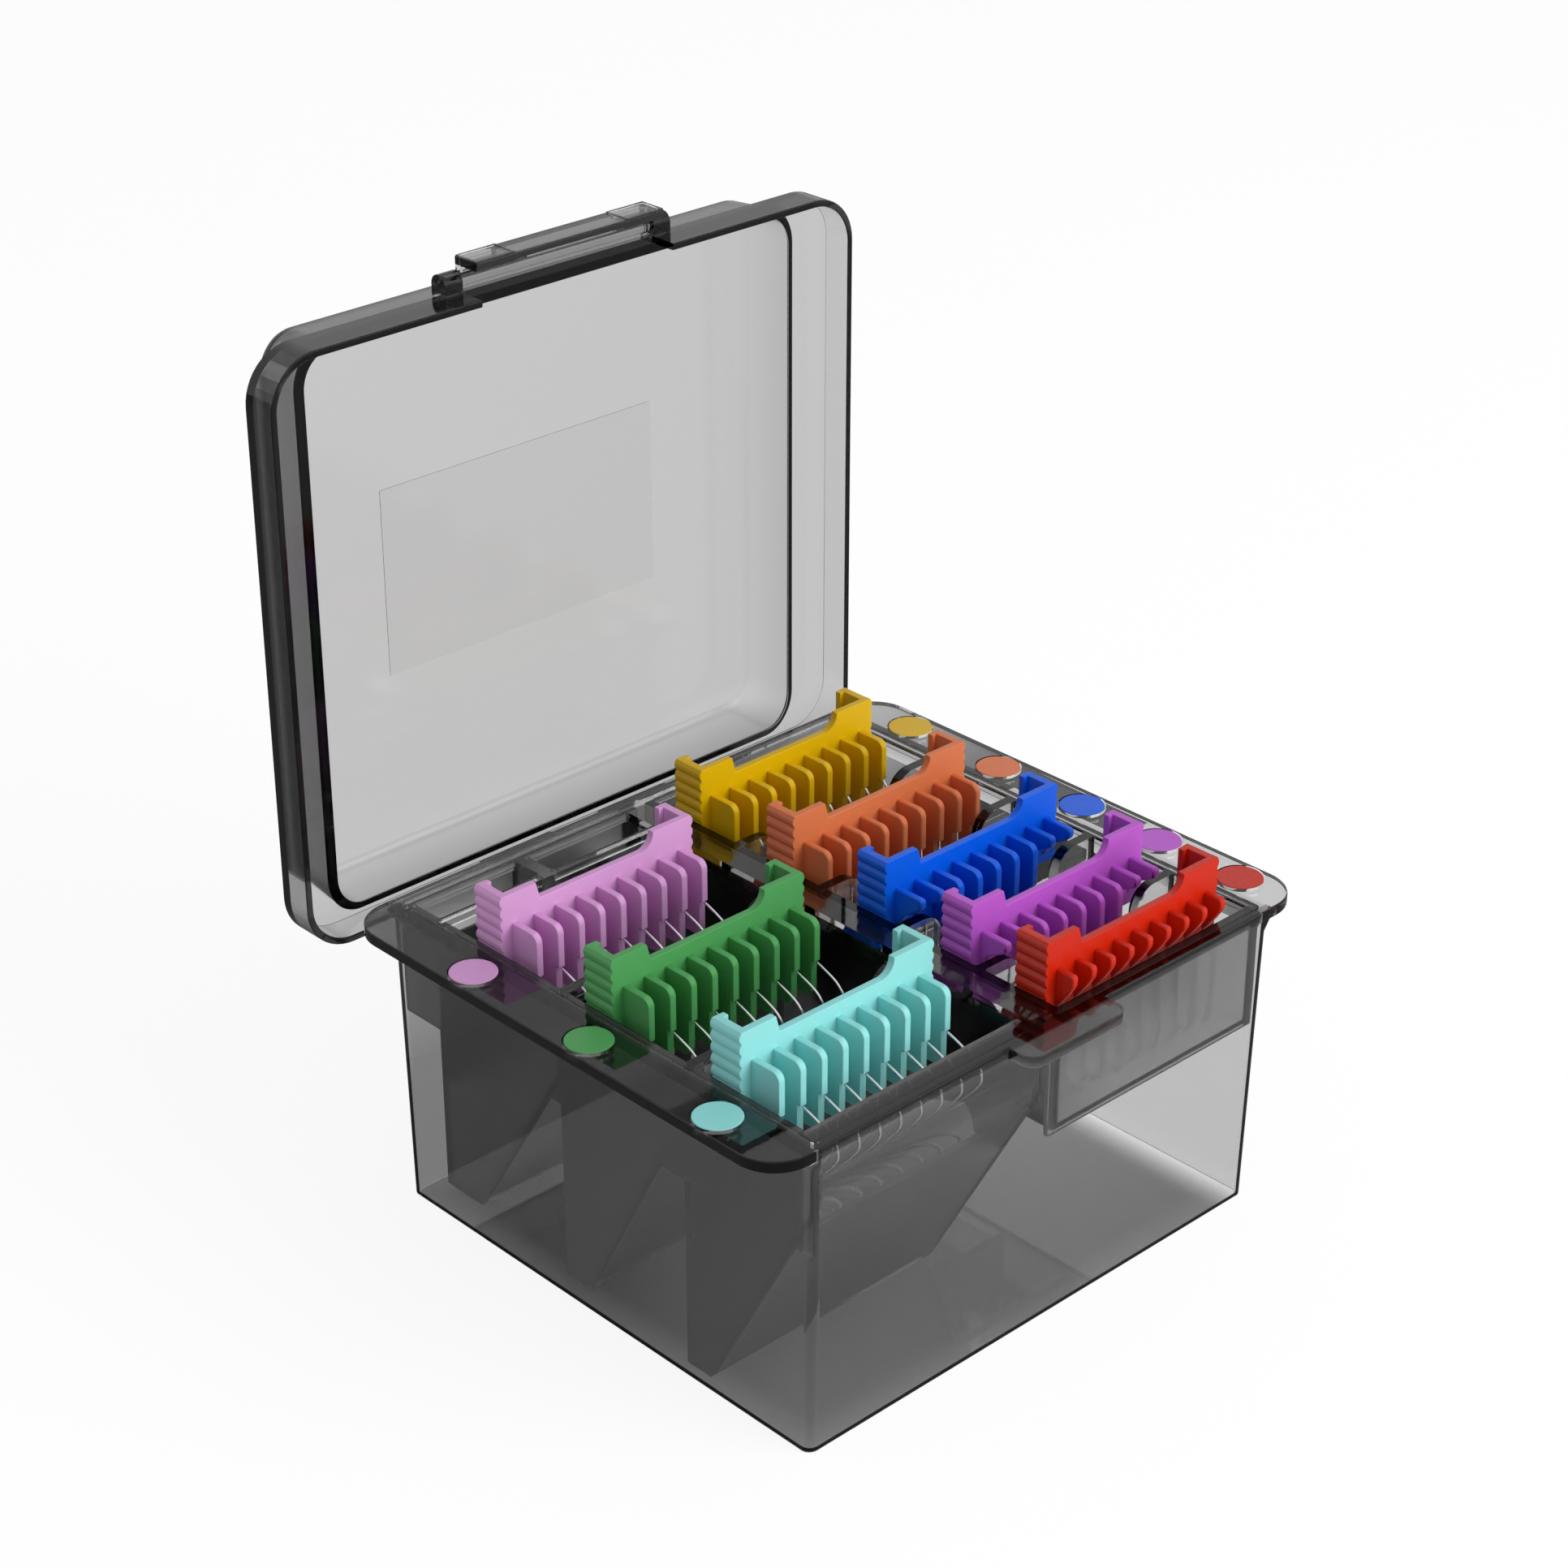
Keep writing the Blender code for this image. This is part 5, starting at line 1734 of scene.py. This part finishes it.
@dataclass
class Studio:
    """The floor, the lights, the world and the camera."""

    camera_place: tuple = (-0.39194, -0.40111, 0.38453)
    target: tuple = (-0.01058, 0.00134, 0.09446)
    lens: float = 78.14
    sensor: float = 36.0
    foot_half: tuple = (59.6, 56.8)
    # Floor colour, and its darker painted colour in reflections.
    paper_and_reflection_shade: tuple = (0.92, 0.3)
    glow: float = 1.04
    # Painted shade and light on the floor where it is seen through the plastic.
    shade_level: float = 0.14
    shade_slope: float = 0.0006
    shade_turn: tuple = (0.000046, 30.0)
    painted_edge_light: tuple = (8.0, 0.1)
    painted_lamp_light: tuple = (10.0, 1.1)
    shadow: tuple = (95.0, 165.0, 0.4, 0.06)

    def floor(self) -> None:
        """Lays the pale floor, bright to the camera and shaded by the object, with painted shade where it is seen
        through the plastic and in reflections.
        """
        bpy.ops.object.select_all(action="DESELECT")
        bpy.ops.mesh.primitive_plane_add(size=8.0, location=(0.0, 0.0, -0.0003))
        plane = bpy.context.object
        plane.name = plane.data.name = "studio_floor"
        bpy.ops.object.transform_apply(location=True, rotation=True, scale=True)
        look = bpy.data.materials.new("floor_paper")
        look.use_nodes = True
        tree = look.node_tree
        shader = tree.nodes["Principled BSDF"]
        shader.inputs["Roughness"].default_value = 0.9
        shader.inputs["Specular IOR Level"].default_value = 0.0
        glow = tree.nodes.new("ShaderNodeEmission")
        path = tree.nodes.new("ShaderNodeLightPath")
        mix = tree.nodes.new("ShaderNodeMixShader")
        tree.links.new(self.shade(tree, path.outputs["Is Transmission Ray"]), glow.inputs["Strength"])
        # Painted shade: the floor's colour drops to the second value in reflections.
        paper_and_reflection_shade = add_range(tree, path.outputs["Is Glossy Ray"], (0.0, 1.0), self.paper_and_reflection_shade)
        tree.links.new(paper_and_reflection_shade, shader.inputs["Base Color"])
        direct = add_math(tree, "MULTIPLY", path.outputs["Is Camera Ray"], 0.85)
        tree.links.new(add_math(tree, "MAXIMUM", direct, path.outputs["Is Transmission Ray"]), mix.inputs["Fac"])
        tree.links.new(shader.outputs["BSDF"], mix.inputs[1])
        tree.links.new(glow.outputs["Emission"], mix.inputs[2])
        tree.links.new(mix.outputs["Shader"], tree.nodes["Material Output"].inputs["Surface"])
        plane.data.materials.append(look)

    def shade(self, tree: bpy.types.ShaderNodeTree, through: bpy.types.NodeSocket) -> bpy.types.NodeSocket:
        """Paints shade and light on the floor under and behind the case as seen through it: a painted shadow under the
        case, painted light near its edges and along the right wall, and a painted shadow behind it that fades further
        back.

        Args:
            tree: the floor's node tree.
            through: one for rays that come through the plastic.

        Returns:
            The floor's brightness, full for all other rays.
        """
        split = tree.nodes.new("ShaderNodeSeparateXYZ")
        place = tree.nodes.new("ShaderNodeTexCoord")
        tree.links.new(place.outputs["Object"], split.inputs["Vector"])
        past = -1.0
        for axis, half in zip("XY", self.foot_half):
            beyond = add_math(tree, "SUBTRACT", add_math(tree, "ABSOLUTE", split.outputs[axis], 0.0), half * MM)
            past = add_math(tree, "MAXIMUM", beyond, past)
        turn, start = self.shade_turn
        depth = add_math(tree, "ADD", split.outputs["Y"], start * MM)
        slope = add_math(tree, "ADD", add_math(tree, "MULTIPLY", depth, turn / MM / MM), self.shade_slope / MM)
        level = add_math(tree, "ADD", add_math(tree, "MULTIPLY", split.outputs["X"], slope), self.shade_level)
        # Painted light near the footprint's edges and along the right wall.
        width, gain = self.painted_edge_light
        painted_edge_light = add_range(tree, past, (-width * MM, 0.0), (0.0, gain))
        width, gain = self.painted_lamp_light
        near = add_range(tree, split.outputs["X"], ((self.foot_half[0] - width) * MM, self.foot_half[0] * MM), (0.0, 1.0))
        lit = add_math(tree, "MULTIPLY", add_math(tree, "POWER", near, 2.0), gain)
        inside = add_math(tree, "ADD", add_math(tree, "MAXIMUM", level, 0.0), add_math(tree, "ADD", painted_edge_light, lit))
        # Painted shadow behind the case: darker to the right, fading out further back.
        deep = add_range(tree, split.outputs["X"], (-10.0 * MM, 20.0 * MM), self.shadow[2:])
        clear = add_range(tree, split.outputs["Y"], [v * MM for v in self.shadow[:2]], (0.0, 1.0))
        behind = add_math(
            tree,
            "ADD",
            add_math(tree, "MULTIPLY", deep, add_math(tree, "SUBTRACT", 1.0, clear)),
            add_math(tree, "MULTIPLY", clear, self.glow),
        )
        front = add_math(tree, "LESS_THAN", split.outputs["Y"], self.foot_half[1] * MM)
        outside = add_math(tree, "MAXIMUM", behind, add_math(tree, "MULTIPLY", front, self.glow))
        beyond = add_math(tree, "GREATER_THAN", past, 0.0)
        seen = add_math(tree, "ADD", add_math(tree, "MULTIPLY", beyond, outside),
                        add_math(tree, "MULTIPLY", add_math(tree, "SUBTRACT", 1.0, beyond), inside))
        full = add_math(tree, "MULTIPLY", add_math(tree, "SUBTRACT", 1.0, through), self.glow)
        return add_math(tree, "ADD", add_math(tree, "MULTIPLY", through, seen), full)

    def world(self) -> None:
        """Sets a soft white surround."""
        world = bpy.data.worlds.new("studio_world")
        bpy.context.scene.world = world
        world.use_nodes = True
        tree = world.node_tree
        back = tree.nodes["Background"]
        path = tree.nodes.new("ShaderNodeLightPath")
        seen = add_math(tree, "MAXIMUM", path.outputs["Is Camera Ray"], path.outputs["Is Transmission Ray"])
        seen = add_math(tree, "MAXIMUM", seen, add_math(tree, "MULTIPLY", path.outputs["Is Glossy Ray"], 0.45))
        strength = add_range(tree, seen, (0.0, 1.0), (0.52, 1.04))
        back.inputs["Color"].default_value = (1.0, 1.0, 1.0, 1.0)
        tree.links.new(strength, back.inputs["Strength"])

    def lamp(self, name: str, place: Triple, aim: Triple, size: float, power: float) -> None:
        """Hangs one soft area lamp.

        Args:
            name: the lamp's name.
            place: where it hangs, in metres.
            aim: the point it faces, in metres.
            size: the side of its square, in metres.
            power: its power in watts.
        """
        light = bpy.data.lights.new(name, "AREA")
        light.energy = power
        light.size = size
        lamp = bpy.data.objects.new(name, light)
        bpy.context.scene.collection.objects.link(lamp)
        lamp.visible_glossy = False
        lamp.location = place
        lamp.rotation_euler = (Vector(aim) - Vector(place)).to_track_quat("-Z", "Y").to_euler()

    def camera(self) -> None:
        """Stands the camera at the photograph's place."""
        data = bpy.data.cameras.new("studio_camera")
        data.lens = self.lens
        data.sensor_width = self.sensor
        data.clip_start = 0.01
        eye = bpy.data.objects.new("studio_camera", data)
        bpy.context.scene.collection.objects.link(eye)
        eye.location = self.camera_place
        eye.rotation_euler = (Vector(self.target) - Vector(self.camera_place)).to_track_quat("-Z", "Y").to_euler()
        bpy.context.scene.camera = eye

    def build(self) -> None:
        """Sets the whole studio up."""
        self.floor()
        self.world()
        self.lamp("key", (0.55, -1.4, 0.7), (0.0, 0.0, 0.05), 1.3, 25.0)
        self.camera()
        scene = bpy.context.scene
        scene.view_settings.view_transform = "Standard"
        scene.cycles.max_bounces = 10
        scene.cycles.transmission_bounces = 8
        scene.cycles.glossy_bounces = 2
        scene.cycles.transparent_max_bounces = 16


def main() -> None:
    """Builds the finishes, the pieces and the studio."""
    logging.basicConfig(level=logging.INFO, format="%(message)s")
    # Painted shade: the lid's left skirt, and the edge that stands on top when it is open, are darkened in these
    # boxes.
    lid_rim_painted_shade = (
        ((-73.0, 55.0, 70.0), (-69.6, 90.0, 180.0), 0.2),
        ((-73.0, 55.0, 172.0), (73.0, 75.9, 180.0), 0.12),
        ((-73.0, 75.9, 169.0), (73.0, 90.0, 180.0), 0.4),
    )
    smoke = SmokePlastic(painted_shade_boxes=lid_rim_painted_shade).make()
    flap = SmokePlastic("smoke_plastic_latch", 520.0).make()
    back = ((-60.0, 56.5, 30.0), (60.0, 70.0, 65.4), 0.4)
    tab = ((-13.5, -65.0, 62.0), (13.5, -58.6, 63.3), 0.75)
    # Painted shade: the top plate's left end and a strip along its front are darkened in these boxes.
    ends = (
        ((-71.0, -60.0, 62.9), (-59.0, 60.0, 66.0), 0.22),
        ((-60.0, -58.7, 63.0), (60.0, -56.9, 66.0), 0.3),
    )
    tub = SmokePlastic("smoke_plastic_case", 210.0, (0.0, 0.035), (back, tab), ends).make()
    walls = (
        ((-60.0, -54.5, -1.0), (-2.0, 46.5, 62.0), 0.3),
        ((-60.0, -57.0, -1.0), (-56.9, 57.0, 65.0), 0.4),
        ((0.0, -57.0, -1.0), (60.0, -54.9, 65.0), 0.4),
        ((-60.0, 46.5, 40.0), (-3.5, 57.0, 65.4), 0.35),
    )
    # Painted shade: the troughs' back walls, the left wall, the spine, the front brow and the lip of the insert are
    # darkened in these boxes.
    well_painted_shade = tuple(((-58.0, far - 0.3, 30.0), (-3.0, far + 1.4, 62.0), 0.06) for far in (44.8, 9.1, -24.9))
    side = ((-60.0, -54.0, -1.0), (-56.9, 57.0, 63.0), 0.25)
    spine = ((-4.0, -54.0, 36.0), (4.0, 57.0, 63.0), 0.12)
    brow = ((-58.6, -57.0, 63.4), (58.6, -54.9, 66.0), 0.1)
    lip = ((-58.6, -55.0, 63.4), (-3.0, -52.5, 66.0), 0.1)
    dark = (*well_painted_shade, side, spine, brow, lip)
    tray = SmokePlastic("smoke_plastic_insert", 100.0, (0.0, 0.035), walls, dark).make()
    looks = {hue: SatinPlastic(f"plastic_{hue.value}", COLOURS[hue]).make() for hue in Hue}
    wire = BrightSteel("tine_steel", (0.8, 0.8, 0.82), (0.14, 0.3)).make()
    pin = BrightSteel("pin_steel", (0.35, 0.35, 0.36), (0.25, 0.45), (120.0, 4000.0, 4000.0)).make()
    case = StorageCase()
    case.build(tub)
    case.build_dots(looks)
    Lid().build(smoke)
    Latch().build(flap)
    Insert().build(tray)
    CombSet().build(looks, wire)
    pin_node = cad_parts["hinge_pin"]
    pin_node.data.materials.clear()
    pin_node.data.materials.append(pin)
    Studio().build()


if __name__ == "__main__":
    main()
